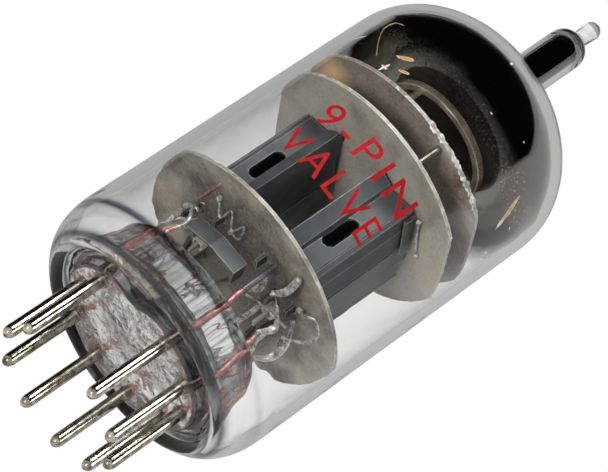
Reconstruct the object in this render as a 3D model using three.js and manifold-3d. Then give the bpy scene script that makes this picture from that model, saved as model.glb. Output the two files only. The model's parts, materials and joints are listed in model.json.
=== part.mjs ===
// Nine-pin miniature double triode: a sealed glass bulb on a pressed glass button, nine pins,
// and the electrode cage of two triodes held between mica discs.
// Millimetres, +Z along the tube axis. The origin is the centre of the button's flat underside,
// on the pin circle's axis. The gap between pin 9 and pin 1 faces -Y.
import * as THREE from "three";
import { mergeVertices } from "three/addons/utils/BufferGeometryUtils.js";
import Module from "manifold-3d";

const wasm = await Module();
wasm.setup();

// ---- driving dimensions ----

// Glass envelope.
const BULB_RADIUS = 10.93;
const BULB_WALL = 0.8;
const BULB_STRAIGHT_FROM = 4;
const BULB_STRAIGHT_TO = 32;
const DOME_RISE = 8.2;
const RIM_RADIUS = 8.6;
const GROOVE_RADIUS = 7.65;
const GROOVE_DEPTH = 1;
const BULB_SEGMENTS = 36;
const BULB_INSIDE = BULB_RADIUS - BULB_WALL;
const DOME_INSIDE_RISE = DOME_RISE - BULB_WALL - 0.1;

// Exhaust nipple and its sealed-off glass tail.
const NIPPLE_RADIUS = 1.76;
const NIPPLE_BORE = 0.8;
const NIPPLE_LAND = 1.9;
const NIPPLE_LENGTH = 7.8;
const TAIL_RADIUS = 0.78;
const TAIL_LENGTH = 2.7;
const TAIL_BEAD_RADIUS = 0.9;

// Glass button.
const SEAT_RADIUS = 4.9;
const SEAT_STEP = 0.06;
const BUTTON_FLAT_RADIUS = 6.9;
const BUTTON_RADIUS = 7.6;
const BUTTON_SHELF = 3.2;
const BUTTON_TOP = 5.1;
const BOSS_TOP = 5.7;

// Nine-pin base: 36 degree pitch, one of the ten places left empty.
const PIN_COUNT = 9;
const PIN_PITCH = Math.PI / 5;
const PIN_CIRCLE_RADIUS = 5.945;
const PIN_RADIUS = 0.508;
const PIN_LENGTH = 7.1;
const PIN_SINK = 1.3;
const LEAD_SEAL_RADIUS = 0.3;
const LEAD_RADIUS = 0.2;
const LEAD_TOP = 7.6;

// Mica discs.
const MICA_RADIUS = 10.05;
const MICA_FLAT = 9.2;
const MICA_THICKNESS = 0.3;
const BOTTOM_MICA_Z = 10.65;
const TOP_MICA_Z = 22.85;
const UPPER_MICA_Z = 25.65;

// Electrodes of one triode, measured from the tube axis.
const TRIODE_X = 3.95;
const ANODE_INNER_X = 2.29;
const ANODE_OUTER_X = 5.62;
const ANODE_PANEL_Y = 4.2;
const ANODE_RIB_Y = 5.35;
const ANODE_SHEET = 0.25;
const ANODE_BOTTOM = 11.05;
const ANODE_TOP = 22.4;
const WINDOW_BOTTOM = 15;
const WINDOW_HEIGHT = 3.4;
const WINDOW_WIDTH = 1.2;
const WINDOW_X = 4;
const TAB_BOTTOM = 9.7;
const TAB_TOP = 24;
const TAB_WIDTH = 0.8;
const CATHODE_RADIUS = 0.6;
const CATHODE_BORE = 0.42;
const CATHODE_BOTTOM = 9.9;
const CATHODE_TOP = 24.2;
const HEATER_LEG_RADIUS = 0.13;
const HEATER_LEG_Y = 0.17;
const HEATER_BOTTOM = 8.4;
const HEATER_TOP = 23.7;
const GRID_ROD_RADIUS = 0.3;
const GRID_ROD_Y = 2;
const GRID_BOTTOM = 9.2;
const GRID_TOP = 26.7;
const GRID_TURNS = 6;

// Getter.
const GETTER_RADIUS = 5.05;
const GETTER_HALF_WIDTH = 0.32;
const GETTER_Z = 30.7;
const GETTER_HEIGHT = 0.6;
const GETTER_TROUGH = 0.35;
const GETTER_POST_ANGLE = THREE.MathUtils.degToRad(250);
const GETTER_POST_RADIUS = 0.25;
const MIRROR_FROM = 29;
const MIRROR_GAP = 0.03;
const MIRROR_FILM = 0.05;

// Wires and play.
const STRAP_RADIUS = 0.25;
const STRAP_FOOT = 7.66;
const HEATER_WIRE_RADIUS = 0.15;
const CLEARANCE = 0.1;
const SEAM = 0.15;

// ---- finishes ----

function finish(color, roughness, metalness) {
  return new THREE.MeshStandardMaterial({ color, roughness, metalness });
}

function glass() {
  const material = finish(0xdfe6e6, 0.05, 0);
  material.transparent = true;
  material.opacity = 0.35;
  return material;
}

const nickel = () => finish(0xb5ad97, 0.28, 1);
const dumet = () => finish(0xa8432f, 0.35, 1);
const mica = () => finish(0x857c6c, 0.55, 0);
const anodeSteel = () => finish(0x555d61, 0.6, 0.4);
const oxideCoat = () => finish(0xe8e6de, 0.9, 0);
const getterFilm = () => finish(0x14110f, 0.12, 1);

// ---- geometry helpers ----

// A closed three.js geometry as a manifold solid.
function solidFrom(geometry) {
  const bare = geometry.clone();
  bare.deleteAttribute("normal");
  bare.deleteAttribute("uv");
  const merged = mergeVertices(bare, 1e-4);
  return new wasm.Manifold(
    new wasm.Mesh({
      numProp: 3,
      vertProperties: merged.getAttribute("position").array,
      triVerts: new Uint32Array(merged.getIndex().array),
    }),
  );
}

// The manifold solid as a three.js geometry again.
function geometryFrom(solid) {
  const { vertProperties, triVerts } = solid.getMesh();
  const geometry = new THREE.BufferGeometry();
  geometry.setAttribute("position", new THREE.BufferAttribute(vertProperties, 3));
  geometry.setIndex(new THREE.BufferAttribute(triVerts, 1));
  geometry.computeVertexNormals();
  return geometry;
}

function cut(geometry, tools) {
  return geometryFrom(tools.reduce((body, tool) => body.subtract(solidFrom(tool)), solidFrom(geometry)));
}

function join(geometries) {
  return geometryFrom(geometries.map(solidFrom).reduce((body, next) => body.add(next)));
}

// Turns a closed outline of [radius, z] points round the tube axis.
function turned(outline, segments) {
  const points = outline.map(([r, z]) => new THREE.Vector2(r, z));
  if (!THREE.ShapeUtils.isClockWise(points)) return latheUp(points, segments);
  return latheUp(points.reverse(), segments);
}

function latheUp(points, segments) {
  const touchesAxis = points.some((p) => p.x === 0);
  const profile = touchesAxis ? fromAxis(points) : [...points, points[0]];
  return new THREE.LatheGeometry(profile, segments).rotateX(Math.PI / 2);
}

// Rolls an outline that meets the axis so that it starts and ends there.
function fromAxis(points) {
  const start = points.findIndex((p, i) => p.x === 0 && points.at(i - 1).x === 0);
  return [...points.slice(start), ...points.slice(0, start)];
}

function arc(centreR, centreZ, spanR, spanZ, from, to, steps) {
  return Array.from({ length: steps + 1 }, (_, i) => {
    const turn = from + ((to - from) * i) / steps;
    return [centreR + spanR * Math.cos(turn), centreZ + spanZ * Math.sin(turn)];
  });
}

function rod(radius, from, to, segments = 12) {
  return turned([[0, from], [radius, from], [radius, to], [0, to]], segments);
}

// A prism that stands on z = from over a plan shape.
function prism(shape, from, to) {
  return new THREE.ExtrudeGeometry(shape, { depth: to - from, bevelEnabled: false })
    .translate(0, 0, from);
}

function block(centreX, centreY, sizeX, sizeY, from, to) {
  return new THREE.BoxGeometry(sizeX, sizeY, to - from).translate(centreX, centreY, (from + to) / 2);
}

// The plan of a sheet of even thickness along a line of [x, y] points.
function ribbon(line, thickness) {
  const points = line.map(([x, y]) => new THREE.Vector2(x, y));
  const side = (sign) =>
    points.map((point, i) => {
      const before = points[Math.max(i - 1, 0)];
      const after = points[Math.min(i + 1, points.length - 1)];
      const into = point === before ? after.clone().sub(point) : point.clone().sub(before);
      const out = point === after ? into.clone() : after.clone().sub(point);
      const mitre = into.normalize().clone().add(out.normalize()).normalize();
      const reach = thickness / 2 / mitre.dot(into);
      return point.clone().add(new THREE.Vector2(-mitre.y, mitre.x).multiplyScalar(sign * reach));
    });
  return new THREE.Shape([...side(1), ...side(-1).reverse()]);
}

// A round wire along a smooth line of [x, y, z] points.
function wire(points, radius) {
  const sides = 8;
  const section = new THREE.Shape(
    Array.from({ length: sides }, (_, i) => {
      const turn = (i * 2 * Math.PI) / sides;
      return new THREE.Vector2(radius * Math.cos(turn), radius * Math.sin(turn));
    }),
  );
  const extrudePath = new THREE.CatmullRomCurve3(points.map((p) => new THREE.Vector3(...p)));
  return new THREE.ExtrudeGeometry(section, { extrudePath, steps: 8, bevelEnabled: false });
}

// ---- scene graph ----

const group = new THREE.Group();

function add(name, geometry, material, x = 0, y = 0) {
  const mesh = new THREE.Mesh(geometry, material);
  mesh.name = name;
  mesh.position.set(x, y, 0);
  group.add(mesh);
}

const pins = Array.from({ length: PIN_COUNT }, (_, i) => {
  const turn = -Math.PI / 2 + PIN_PITCH * (i + 1);
  return { number: i + 1, x: PIN_CIRCLE_RADIUS * Math.cos(turn), y: PIN_CIRCLE_RADIUS * Math.sin(turn) };
});

// Triode 2 stands on +X and triode 1 is the same assembly on -X.
const triodes = [
  { number: 1, side: -1 },
  { number: 2, side: 1 },
];

// ---- glass envelope ----

// Height of the dome's ellipse at a radius.
function domeZ(radius, base, rise) {
  return BULB_STRAIGHT_TO + rise * Math.sqrt(1 - (radius / base) ** 2);
}

function bulb() {
  const quarter = Math.PI / 2;
  const landTurn = Math.acos(NIPPLE_LAND / BULB_RADIUS);
  const boreTurn = Math.acos(NIPPLE_BORE / BULB_INSIDE);
  const outerDome = arc(0, BULB_STRAIGHT_TO, BULB_RADIUS, DOME_RISE, landTurn, 0, 9);
  const innerDome = arc(0, BULB_STRAIGHT_TO, BULB_INSIDE, DOME_INSIDE_RISE, 0, boreTurn, 9);
  const rim = arc(
    RIM_RADIUS, BULB_STRAIGHT_FROM, BULB_RADIUS - RIM_RADIUS, BULB_STRAIGHT_FROM, 0, -quarter, 6,
  );
  const seal = arc(GROOVE_RADIUS, 6.6, BULB_INSIDE - GROOVE_RADIUS, 3, -quarter, 0, 4);
  return turned(
    [
      [NIPPLE_BORE, domeZ(NIPPLE_LAND, BULB_RADIUS, DOME_RISE)],
      ...outerDome,
      ...rim,
      [(RIM_RADIUS + GROOVE_RADIUS) / 2, GROOVE_DEPTH / 3],
      [GROOVE_RADIUS, GROOVE_DEPTH],
      ...seal,
      ...innerDome,
    ],
    BULB_SEGMENTS,
  );
}

function nipple() {
  const foot = domeZ(NIPPLE_LAND, BULB_RADIUS, DOME_RISE) + 0.02;
  const top = foot + NIPPLE_LENGTH;
  const shoulder = arc(TAIL_RADIUS, top - 0.9, NIPPLE_RADIUS - TAIL_RADIUS, 0.9, 0, Math.PI / 2, 5);
  return turned(
    [
      [NIPPLE_BORE, foot],
      [NIPPLE_RADIUS, foot],
      ...shoulder,
      [0, top],
      [0, top - 1.6],
      [NIPPLE_BORE, top - 2.6],
    ],
    24,
  );
}

function tail() {
  const foot = domeZ(NIPPLE_LAND, BULB_RADIUS, DOME_RISE) + NIPPLE_LENGTH + 0.04;
  const beadZ = foot + TAIL_LENGTH - TAIL_BEAD_RADIUS;
  const bead = arc(0, beadZ, TAIL_BEAD_RADIUS, TAIL_BEAD_RADIUS, -Math.PI / 6, Math.PI / 2, 8);
  bead[bead.length - 1][0] = 0;
  return turned([[0, foot], [TAIL_RADIUS, foot], [TAIL_RADIUS - 0.1, foot + 0.6], ...bead], 20);
}

function button() {
  const crown = arc(BUTTON_RADIUS - 0.9, BUTTON_TOP - 0.9, 0.9, 0.9, 0, Math.PI / 2, 4);
  const disc = turned(
    [
      [0, 0],
      [SEAT_RADIUS, 0],
      [SEAT_RADIUS, SEAT_STEP],
      [BUTTON_FLAT_RADIUS, SEAT_STEP],
      [BUTTON_RADIUS - 0.2, GROOVE_DEPTH / 2],
      [BUTTON_RADIUS, GROOVE_DEPTH],
      ...crown,
      [PIN_CIRCLE_RADIUS - 1, BUTTON_TOP],
      [PIN_CIRCLE_RADIUS - 1.6, BUTTON_SHELF],
      [0, BUTTON_SHELF - 0.2],
    ],
    BULB_SEGMENTS,
  );
  const boss = turned([[0, BUTTON_SHELF], [1.05, BUTTON_SHELF], [0.55, BOSS_TOP], [0, BOSS_TOP]], 16);
  const bosses = pins.map(({ x, y }) => boss.clone().translate(x, y, 0));
  const socket = rod(PIN_RADIUS + 0.02, -1, PIN_SINK + 0.01, 16);
  const channel = rod(LEAD_SEAL_RADIUS + 0.02, PIN_SINK, BOSS_TOP + 1, 10);
  const holes = pins.flatMap(({ x, y }) => [
    socket.clone().translate(x, y, 0),
    channel.clone().translate(x, y, 0),
  ]);
  return cut(join([disc, ...bosses]), holes);
}

add("glass_bulb", bulb(), glass());
add("exhaust_nipple", nipple(), glass());
add("exhaust_tail", tail(), glass());
add("button_stem", button(), glass());

// ---- pins and lead-in wires ----

function pin() {
  return turned(
    [
      [0, -PIN_LENGTH],
      [PIN_RADIUS * 0.45, -PIN_LENGTH],
      [PIN_RADIUS * 0.8, -PIN_LENGTH + 0.3],
      [PIN_RADIUS, -PIN_LENGTH + 0.9],
      [PIN_RADIUS, PIN_SINK],
      [0, PIN_SINK],
    ],
    16,
  );
}

// The copper-clad seal wire is stout in the glass and slim above it.
function leadIn() {
  const foot = PIN_SINK + 0.03;
  return turned(
    [
      [0, foot],
      [LEAD_SEAL_RADIUS, foot],
      [LEAD_SEAL_RADIUS, BOSS_TOP - 0.1],
      [LEAD_RADIUS, BOSS_TOP],
      [LEAD_RADIUS, LEAD_TOP],
      [0, LEAD_TOP],
    ],
    10,
  );
}

for (const { number, x, y } of pins) {
  add(`base_pin_${number}`, pin(), nickel(), x, y);
  add(`lead_in_${number}`, leadIn(), dumet(), x, y);
}

// ---- mica discs ----

// A disc outline, straightened at its two X ends where flat is less than its radius.
function micaOutline(flat) {
  const steps = 72;
  return new THREE.Shape(
    Array.from({ length: steps }, (_, i) => {
      const turn = (i * 2 * Math.PI) / steps;
      const reach = Math.min(MICA_RADIUS, flat / Math.abs(Math.cos(turn)));
      return new THREE.Vector2(reach * Math.cos(turn), reach * Math.sin(turn));
    }),
  );
}

function tabSlot(x, y) {
  const width = ANODE_SHEET + 2 * CLEARANCE;
  return block(x, y, width, TAB_WIDTH + 2 * CLEARANCE, 0, UPPER_MICA_Z - 1);
}

// The holes that one triode needs in the micas below and above it.
function electrodeHoles(side) {
  const x = side * TRIODE_X;
  const round = (radius, y) => rod(radius + CLEARANCE, 0, UPPER_MICA_Z + 1).translate(x, y, 0);
  return [
    rod(CATHODE_RADIUS + CLEARANCE, 0, UPPER_MICA_Z - 1, 16).translate(x, 0, 0),
    round(GRID_ROD_RADIUS, GRID_ROD_Y),
    round(GRID_ROD_RADIUS, -GRID_ROD_Y),
    ...[-1, 1].flatMap((end) => [
      tabSlot(side * ANODE_INNER_X, end * (ANODE_RIB_Y - TAB_WIDTH)),
      tabSlot(side * (ANODE_OUTER_X + 0.06), end * GRID_ROD_Y),
    ]),
  ];
}

function micaDisc(flat, from) {
  const disc = prism(micaOutline(flat), from, from + MICA_THICKNESS);
  return cut(disc, triodes.flatMap(({ side }) => electrodeHoles(side)));
}

add("bottom_mica", micaDisc(MICA_RADIUS, BOTTOM_MICA_Z), mica());
add("top_mica", micaDisc(MICA_FLAT, TOP_MICA_Z), mica());
add("upper_mica", micaDisc(MICA_FLAT, UPPER_MICA_Z), mica());

// ---- anodes: two folded half shells to each triode ----

// Plan of one half shell, from the inner seam round the rib and the window panel to the outer seam.
function anodeLine(side, end) {
  const line = [
    [ANODE_INNER_X, SEAM],
    [ANODE_INNER_X, ANODE_RIB_Y],
    [ANODE_INNER_X + 0.9, ANODE_RIB_Y - 0.55],
    [ANODE_INNER_X + 1, ANODE_PANEL_Y],
    [ANODE_OUTER_X - 0.25, ANODE_PANEL_Y],
    [ANODE_OUTER_X - 0.1, ANODE_PANEL_Y + 0.16],
    [ANODE_OUTER_X + 0.08, ANODE_PANEL_Y - 0.05],
    [ANODE_OUTER_X, ANODE_PANEL_Y - 0.4],
    [ANODE_OUTER_X + 0.06, GRID_ROD_Y],
    [ANODE_OUTER_X + 0.1, SEAM],
  ];
  return line.map(([x, y]) => [side * x, end * y]);
}

// A tall hole with cut corners, pushed through the panel along Y.
function windowTool(side, end) {
  const half = WINDOW_WIDTH / 2;
  const corner = 0.35;
  const outline = new THREE.Shape(
    [
      [-half, corner], [-half + corner, 0], [half - corner, 0], [half, corner],
      [half, WINDOW_HEIGHT - corner], [half - corner, WINDOW_HEIGHT],
      [-half + corner, WINDOW_HEIGHT], [-half, WINDOW_HEIGHT - corner],
    ].map(([x, z]) => new THREE.Vector2(x, z)),
  );
  return new THREE.ExtrudeGeometry(outline, { depth: 1, bevelEnabled: false })
    .translate(0, 0, -0.5)
    .rotateX(Math.PI / 2)
    .translate(side * WINDOW_X, end * ANODE_PANEL_Y, WINDOW_BOTTOM);
}

function anodeHalf(side, end) {
  const shell = prism(ribbon(anodeLine(side, end), ANODE_SHEET), ANODE_BOTTOM, ANODE_TOP);
  const innerY = end * (ANODE_RIB_Y - TAB_WIDTH);
  const outerX = side * (ANODE_OUTER_X + 0.06);
  const tabs = [
    block(side * ANODE_INNER_X, innerY, ANODE_SHEET, TAB_WIDTH, TAB_BOTTOM, TAB_TOP),
    block(outerX, end * GRID_ROD_Y, ANODE_SHEET, TAB_WIDTH, TAB_BOTTOM, TAB_TOP),
  ];
  return cut(join([shell, ...tabs]), [windowTool(side, end)]);
}

for (const { number, side } of triodes) {
  add(`anode_${number}_front`, anodeHalf(side, -1), anodeSteel());
  add(`anode_${number}_back`, anodeHalf(side, 1), anodeSteel());
}

// ---- cathodes, heaters and grids ----

function cathode() {
  return turned(
    [
      [CATHODE_BORE, CATHODE_BOTTOM],
      [CATHODE_RADIUS, CATHODE_BOTTOM],
      [CATHODE_RADIUS, CATHODE_TOP],
      [CATHODE_BORE, CATHODE_TOP],
    ],
    16,
  );
}

// A hairpin: two legs and the bend that closes them at the top.
function heater() {
  const leg = rod(HEATER_LEG_RADIUS, HEATER_BOTTOM, HEATER_TOP, 8);
  const bend = block(0, 0, HEATER_LEG_RADIUS, 2 * HEATER_LEG_Y, HEATER_TOP - 0.3, HEATER_TOP - 0.1);
  return join([leg.clone().translate(0, HEATER_LEG_Y, 0), leg.translate(0, -HEATER_LEG_Y, 0), bend]);
}

// Two side rods with oval turns of wire between the micas.
function grid() {
  const wireHalf = 0.06;
  const rods = [-1, 1].map((end) => {
    return rod(GRID_ROD_RADIUS, GRID_BOTTOM, GRID_TOP).translate(0, end * GRID_ROD_Y, 0);
  });
  const pitch = (ANODE_TOP - ANODE_BOTTOM) / GRID_TURNS;
  const turns = Array.from({ length: GRID_TURNS }, (_, i) => {
    const z = ANODE_BOTTOM + pitch * (i + 0.5);
    const loop = [[0.94, -wireHalf], [1.06, -wireHalf], [1.06, wireHalf], [0.94, wireHalf]];
    return turned(loop, 16).scale(1, GRID_ROD_Y, 1).translate(0, 0, z);
  });
  return join([...rods, ...turns]);
}

for (const { number, side } of triodes) {
  const x = side * TRIODE_X;
  add(`cathode_${number}`, cathode(), oxideCoat(), x);
  add(`heater_${number}`, heater(), oxideCoat(), x);
  add(`grid_${number}`, grid(), nickel(), x);
}

// ---- getter and its flash ----

function getterRing() {
  const inner = GETTER_RADIUS - GETTER_HALF_WIDTH;
  const outer = GETTER_RADIUS + GETTER_HALF_WIDTH;
  const lip = 0.12;
  return turned(
    [
      [inner, GETTER_Z],
      [outer, GETTER_Z],
      [outer, GETTER_Z + GETTER_HEIGHT],
      [outer - lip, GETTER_Z + GETTER_HEIGHT],
      [outer - lip, GETTER_Z + GETTER_HEIGHT - GETTER_TROUGH],
      [inner + lip, GETTER_Z + GETTER_HEIGHT - GETTER_TROUGH],
      [inner + lip, GETTER_Z + GETTER_HEIGHT],
      [inner, GETTER_Z + GETTER_HEIGHT],
    ],
    36,
  );
}

// The flash is a thin shell of metal against the inside of the dome.
function getterMirror() {
  const radius = BULB_INSIDE - MIRROR_GAP;
  const rise = DOME_INSIDE_RISE - MIRROR_GAP;
  const turn = Math.acos(NIPPLE_BORE / radius);
  const outside = arc(0, BULB_STRAIGHT_TO, radius, rise, 0, turn, 9);
  const inside = arc(0, BULB_STRAIGHT_TO, radius - MIRROR_FILM, rise - MIRROR_FILM, turn, 0, 9);
  return turned(
    [[radius, MIRROR_FROM], ...outside, ...inside, [radius - MIRROR_FILM, MIRROR_FROM]],
    BULB_SEGMENTS,
  );
}

const postX = GETTER_RADIUS * Math.cos(GETTER_POST_ANGLE);
const postY = GETTER_RADIUS * Math.sin(GETTER_POST_ANGLE);
const postFoot = UPPER_MICA_Z + MICA_THICKNESS + 0.02;
add("getter_ring", getterRing(), nickel());
add("getter_post", rod(GETTER_POST_RADIUS, postFoot, GETTER_Z - 0.02), nickel(), postX, postY);
add("getter_mirror", getterMirror(), getterFilm());

// ---- mica spacers ----

const SPACER_ANGLE = THREE.MathUtils.degToRad(300);
const SPACER_CIRCLE = 9.3;

[0, Math.PI].forEach((turn, i) => {
  const from = TOP_MICA_Z + MICA_THICKNESS + 0.02;
  const x = SPACER_CIRCLE * Math.cos(SPACER_ANGLE + turn);
  const y = SPACER_CIRCLE * Math.sin(SPACER_ANGLE + turn);
  add(`mica_spacer_${i + 1}`, rod(GETTER_POST_RADIUS, from, UPPER_MICA_Z - 0.02), nickel(), x, y);
});

// ---- straps from the lead-ins to the electrodes ----

// Each strap starts above its lead-in and ends close to the electrode that its pin feeds.
// Triode 2's straps are drawn, and triode 1's are the same ones turned half round the axis.
const strapEnds = [
  { pin: 1, via: [3.3, -4.85, 9.2], end: [2.8, -4.7, 10.2], radius: STRAP_RADIUS },
  { pin: 2, via: [5.2, -1.95, 8.8], end: [4.6, -2, 9.7], radius: STRAP_RADIUS },
  { pin: 3, via: [5.3, 1.2, 8.9], end: [4.75, 0.45, 10.1], radius: HEATER_WIRE_RADIUS },
];

function strap(pinNumber, via, end, radius) {
  const { x, y } = pins[pinNumber - 1];
  return wire([[x, y, STRAP_FOOT], [x, y, STRAP_FOOT + 0.4], via, end], radius);
}

for (const { pin: number, via, end, radius } of strapEnds) {
  const geometry = strap(number, via, end, radius);
  add(`strap_${number}`, geometry, nickel());
  add(`strap_${number + 5}`, geometry.clone().rotateZ(Math.PI), nickel());
}

const heaterLead2 = strap(4, [3.7, 3, 8.5], [3.93, 0.55, 8.8], HEATER_WIRE_RADIUS);
const heaterLead1 = strap(5, [-1.8, 4, 8.5], [-3.75, 0.6, 8.8], HEATER_WIRE_RADIUS);
const heaterLink = wire([[-3.85, -0.55, 8.7], [0, -0.35, 8.5], [3.85, -0.55, 8.7]], HEATER_WIRE_RADIUS);
add("strap_4", heaterLead2, nickel());
add("strap_5", heaterLead1, nickel());
add("heater_link", heaterLink, nickel());

// The centre tap is a wide ribbon that swings across the front of the cage to the heater link.
const tapLine = [[-3.2, -5], [-0.6, -5.3], [1.9, -4.7], [1.6, -3], [0.2, -0.85]];
add("strap_9", prism(ribbon(tapLine, 0.2), STRAP_FOOT + 0.1, 9.1), nickel());

export default group;
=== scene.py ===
"""A nine-pin miniature glass vacuum tube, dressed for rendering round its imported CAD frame.

Places come from the frame's node boxes. Sizes are in millimetres until a mesh is made.
"""

import json
import logging
import math
from collections.abc import Callable, Iterable, Sequence
from dataclasses import dataclass, field
from enum import Enum

import bmesh
import bpy
from mathutils import Matrix, Vector, noise

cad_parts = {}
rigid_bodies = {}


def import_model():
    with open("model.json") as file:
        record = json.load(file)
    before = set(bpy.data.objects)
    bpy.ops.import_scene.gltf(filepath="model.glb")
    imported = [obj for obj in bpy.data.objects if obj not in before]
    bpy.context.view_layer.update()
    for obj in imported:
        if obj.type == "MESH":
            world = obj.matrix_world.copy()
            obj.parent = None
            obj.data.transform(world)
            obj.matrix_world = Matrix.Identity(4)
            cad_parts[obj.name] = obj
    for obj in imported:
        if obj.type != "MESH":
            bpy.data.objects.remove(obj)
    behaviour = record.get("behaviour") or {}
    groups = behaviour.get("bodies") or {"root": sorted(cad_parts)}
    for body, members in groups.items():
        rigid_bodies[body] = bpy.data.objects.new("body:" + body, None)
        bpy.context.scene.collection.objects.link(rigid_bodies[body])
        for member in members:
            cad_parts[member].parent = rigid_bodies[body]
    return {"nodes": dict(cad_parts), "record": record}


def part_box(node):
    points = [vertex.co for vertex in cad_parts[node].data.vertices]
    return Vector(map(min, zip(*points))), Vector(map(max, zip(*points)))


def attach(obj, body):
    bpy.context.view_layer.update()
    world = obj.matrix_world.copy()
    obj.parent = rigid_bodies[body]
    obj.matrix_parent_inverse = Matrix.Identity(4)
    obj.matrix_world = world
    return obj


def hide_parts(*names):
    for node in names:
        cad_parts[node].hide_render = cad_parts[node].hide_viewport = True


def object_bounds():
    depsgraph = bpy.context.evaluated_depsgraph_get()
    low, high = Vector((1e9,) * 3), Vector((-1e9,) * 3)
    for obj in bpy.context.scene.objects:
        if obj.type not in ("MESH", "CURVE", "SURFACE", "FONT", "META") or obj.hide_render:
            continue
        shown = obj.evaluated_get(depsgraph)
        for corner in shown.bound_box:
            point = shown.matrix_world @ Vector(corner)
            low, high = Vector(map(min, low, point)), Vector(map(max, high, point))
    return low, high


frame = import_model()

CAD_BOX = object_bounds()

LOG = logging.getLogger("vacuum_tube")
ROOT = "root"
MM = 0.001
FULL_TURN = 2 * math.pi
QUARTER_TURN = math.pi / 2
RECORD_SLOTS = {row["slot"] for row in frame["record"]["materials"]}

ON_AXIS = 1e-6

PIN_PLACES = 10
PIN_COUNT = 9
PIN_PITCH = FULL_TURN / PIN_PLACES

Point = tuple[float, float]
Place = tuple[float, float, float]


# ---------------------------------------------------------------- frame


class Slot(Enum):
    """The record's material slots."""

    GLASS = "clear_glass"
    PIN = "pin_nickel"
    DUMET = "dumet_copper"
    MICA = "mica_sheet"
    ANODE = "anode_steel"
    OXIDE = "cathode_oxide"
    ALUMINA = "heater_alumina"
    GRID = "grid_wire"
    GETTER = "getter_steel"
    FLASH = "getter_flash"
    STRAP = "strap_nickel"
    INK = "print_ink"


def span(node: str) -> tuple[Vector, Vector]:
    """Gives a CAD node's lowest and highest corner in millimetres."""
    low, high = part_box(node)
    return low / MM, high / MM


def middle(node: str) -> Vector:
    """Gives the centre of a CAD node's box in millimetres."""
    low, high = span(node)
    return (low + high) / 2


def dress(node: str, material: bpy.types.Material) -> None:
    """Gives a CAD node one material.

    Args:
        node: The CAD node's name.
        material: Its material.
    """
    materials = frame["nodes"][node].data.materials
    materials.clear()
    materials.append(material)


# ---------------------------------------------------------------- mesh helpers


def held(value: float) -> float:
    """Holds a share between 0 and 1."""
    return min(max(value, 0.0), 1.0)


def bell(offset: float) -> float:
    """Gives 1 at no offset, falling off smoothly on both sides."""
    return math.exp(-(offset * offset))


def polar(r: float, turn: float, z: float) -> Vector:
    """Gives the point at a radius, an angle and a height."""
    return Vector((r * math.cos(turn), r * math.sin(turn), z))


def finished(
    name: str,
    mesh: bpy.types.Mesh,
    material: bpy.types.Material,
    stands_for: Iterable[str] = (),
) -> bpy.types.Object:
    """Puts a mesh in the scene as a piece that rides on the root body.

    Args:
        name: The piece's name.
        mesh: Its mesh, already in place and in metres.
        material: The finish for all its faces.
        stands_for: The CAD nodes that it replaces.

    Returns:
        The new object.
    """
    mesh.materials.clear()
    mesh.materials.append(material)
    piece = bpy.data.objects.new(name, mesh)
    bpy.context.scene.collection.objects.link(piece)
    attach(piece, ROOT)
    nodes = list(stands_for)
    if nodes:
        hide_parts(*nodes)
    LOG.info("%s: %d faces", name, len(mesh.polygons))
    return piece


def arc(centre: Point, spans: Point, start: float, end: float, steps: int) -> list[Point]:
    """Samples an elliptical arc in the radius and height plane.

    Args:
        centre: Radius and height of the arc's centre.
        spans: Its half widths in radius and height.
        start: First angle, in radians from outwards.
        end: Last angle.
        steps: How many stretches it has.

    Returns:
        The points, both ends included.
    """
    turns = [start + (end - start) * i / steps for i in range(steps + 1)]
    return [
        (max(centre[0] + spans[0] * math.cos(t), 0.0), centre[1] + spans[1] * math.sin(t))
        for t in turns
    ]


def ramp(first: Point, last: Point, steps: int) -> list[Point]:
    """Samples a straight stretch, without its last point.

    Args:
        first: The near end.
        last: The far end, left out.
        steps: How many stretches it has.

    Returns:
        The points.
    """
    return [
        (first[0] + (last[0] - first[0]) * i / steps, first[1] + (last[1] - first[1]) * i / steps)
        for i in range(steps)
    ]


def add_turned(
    bm: bmesh.types.BMesh,
    profile: Sequence[Point],
    segments: int,
    inward: bool = False,
    shape: Callable[[float, float, float], Vector] | None = None,
    ring: bool = False,
) -> None:
    """Turns a profile round the tube axis into a bmesh, in millimetres.

    Args:
        bm: The bmesh to add to.
        profile: Radius and height points, from the bottom up the outside.
        segments: How many faces go round.
        inward: True if the faces look at the axis, as a cavity's do.
        shape: Gives the point for a radius, height and angle, for what isn't quite round.
        ring: True if the profile closes on itself instead of meeting the axis.
    """
    place = shape or (lambda r, z, turn: polar(r, turn, z))
    rings = []
    for r, z in profile:
        if r < ON_AXIS:
            rings.append([bm.verts.new(place(0.0, z, 0.0))])
        else:
            rings.append([bm.verts.new(place(r, z, FULL_TURN * i / segments)) for i in range(segments)])
    pairs = list(zip(rings, rings[1:]))
    if ring:
        pairs.append((rings[-1], rings[0]))
    for lower, upper in pairs:
        for i in range(segments):
            j = (i + 1) % segments
            corners = [
                lower[i % len(lower)], lower[j % len(lower)],
                upper[j % len(upper)], upper[i % len(upper)],
            ]
            loop = list(dict.fromkeys(corners))
            if len(loop) > 2:
                bm.faces.new(loop[::-1] if inward else loop)


def mesh_from(bm: bmesh.types.BMesh, name: str, sharp_degrees: float = 40.0) -> bpy.types.Mesh:
    """Makes a smooth-shaded mesh in metres from a bmesh in millimetres.

    Args:
        bm: The bmesh, freed afterwards.
        name: The mesh's name.
        sharp_degrees: Edges that turn more than this stay sharp.

    Returns:
        The mesh.
    """
    bmesh.ops.scale(bm, vec=Vector((MM, MM, MM)), verts=bm.verts)
    mesh = bpy.data.meshes.new(name)
    bm.to_mesh(mesh)
    bm.free()
    mesh.shade_smooth()
    mesh.set_sharp_from_angle(angle=math.radians(sharp_degrees))
    return mesh


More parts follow.
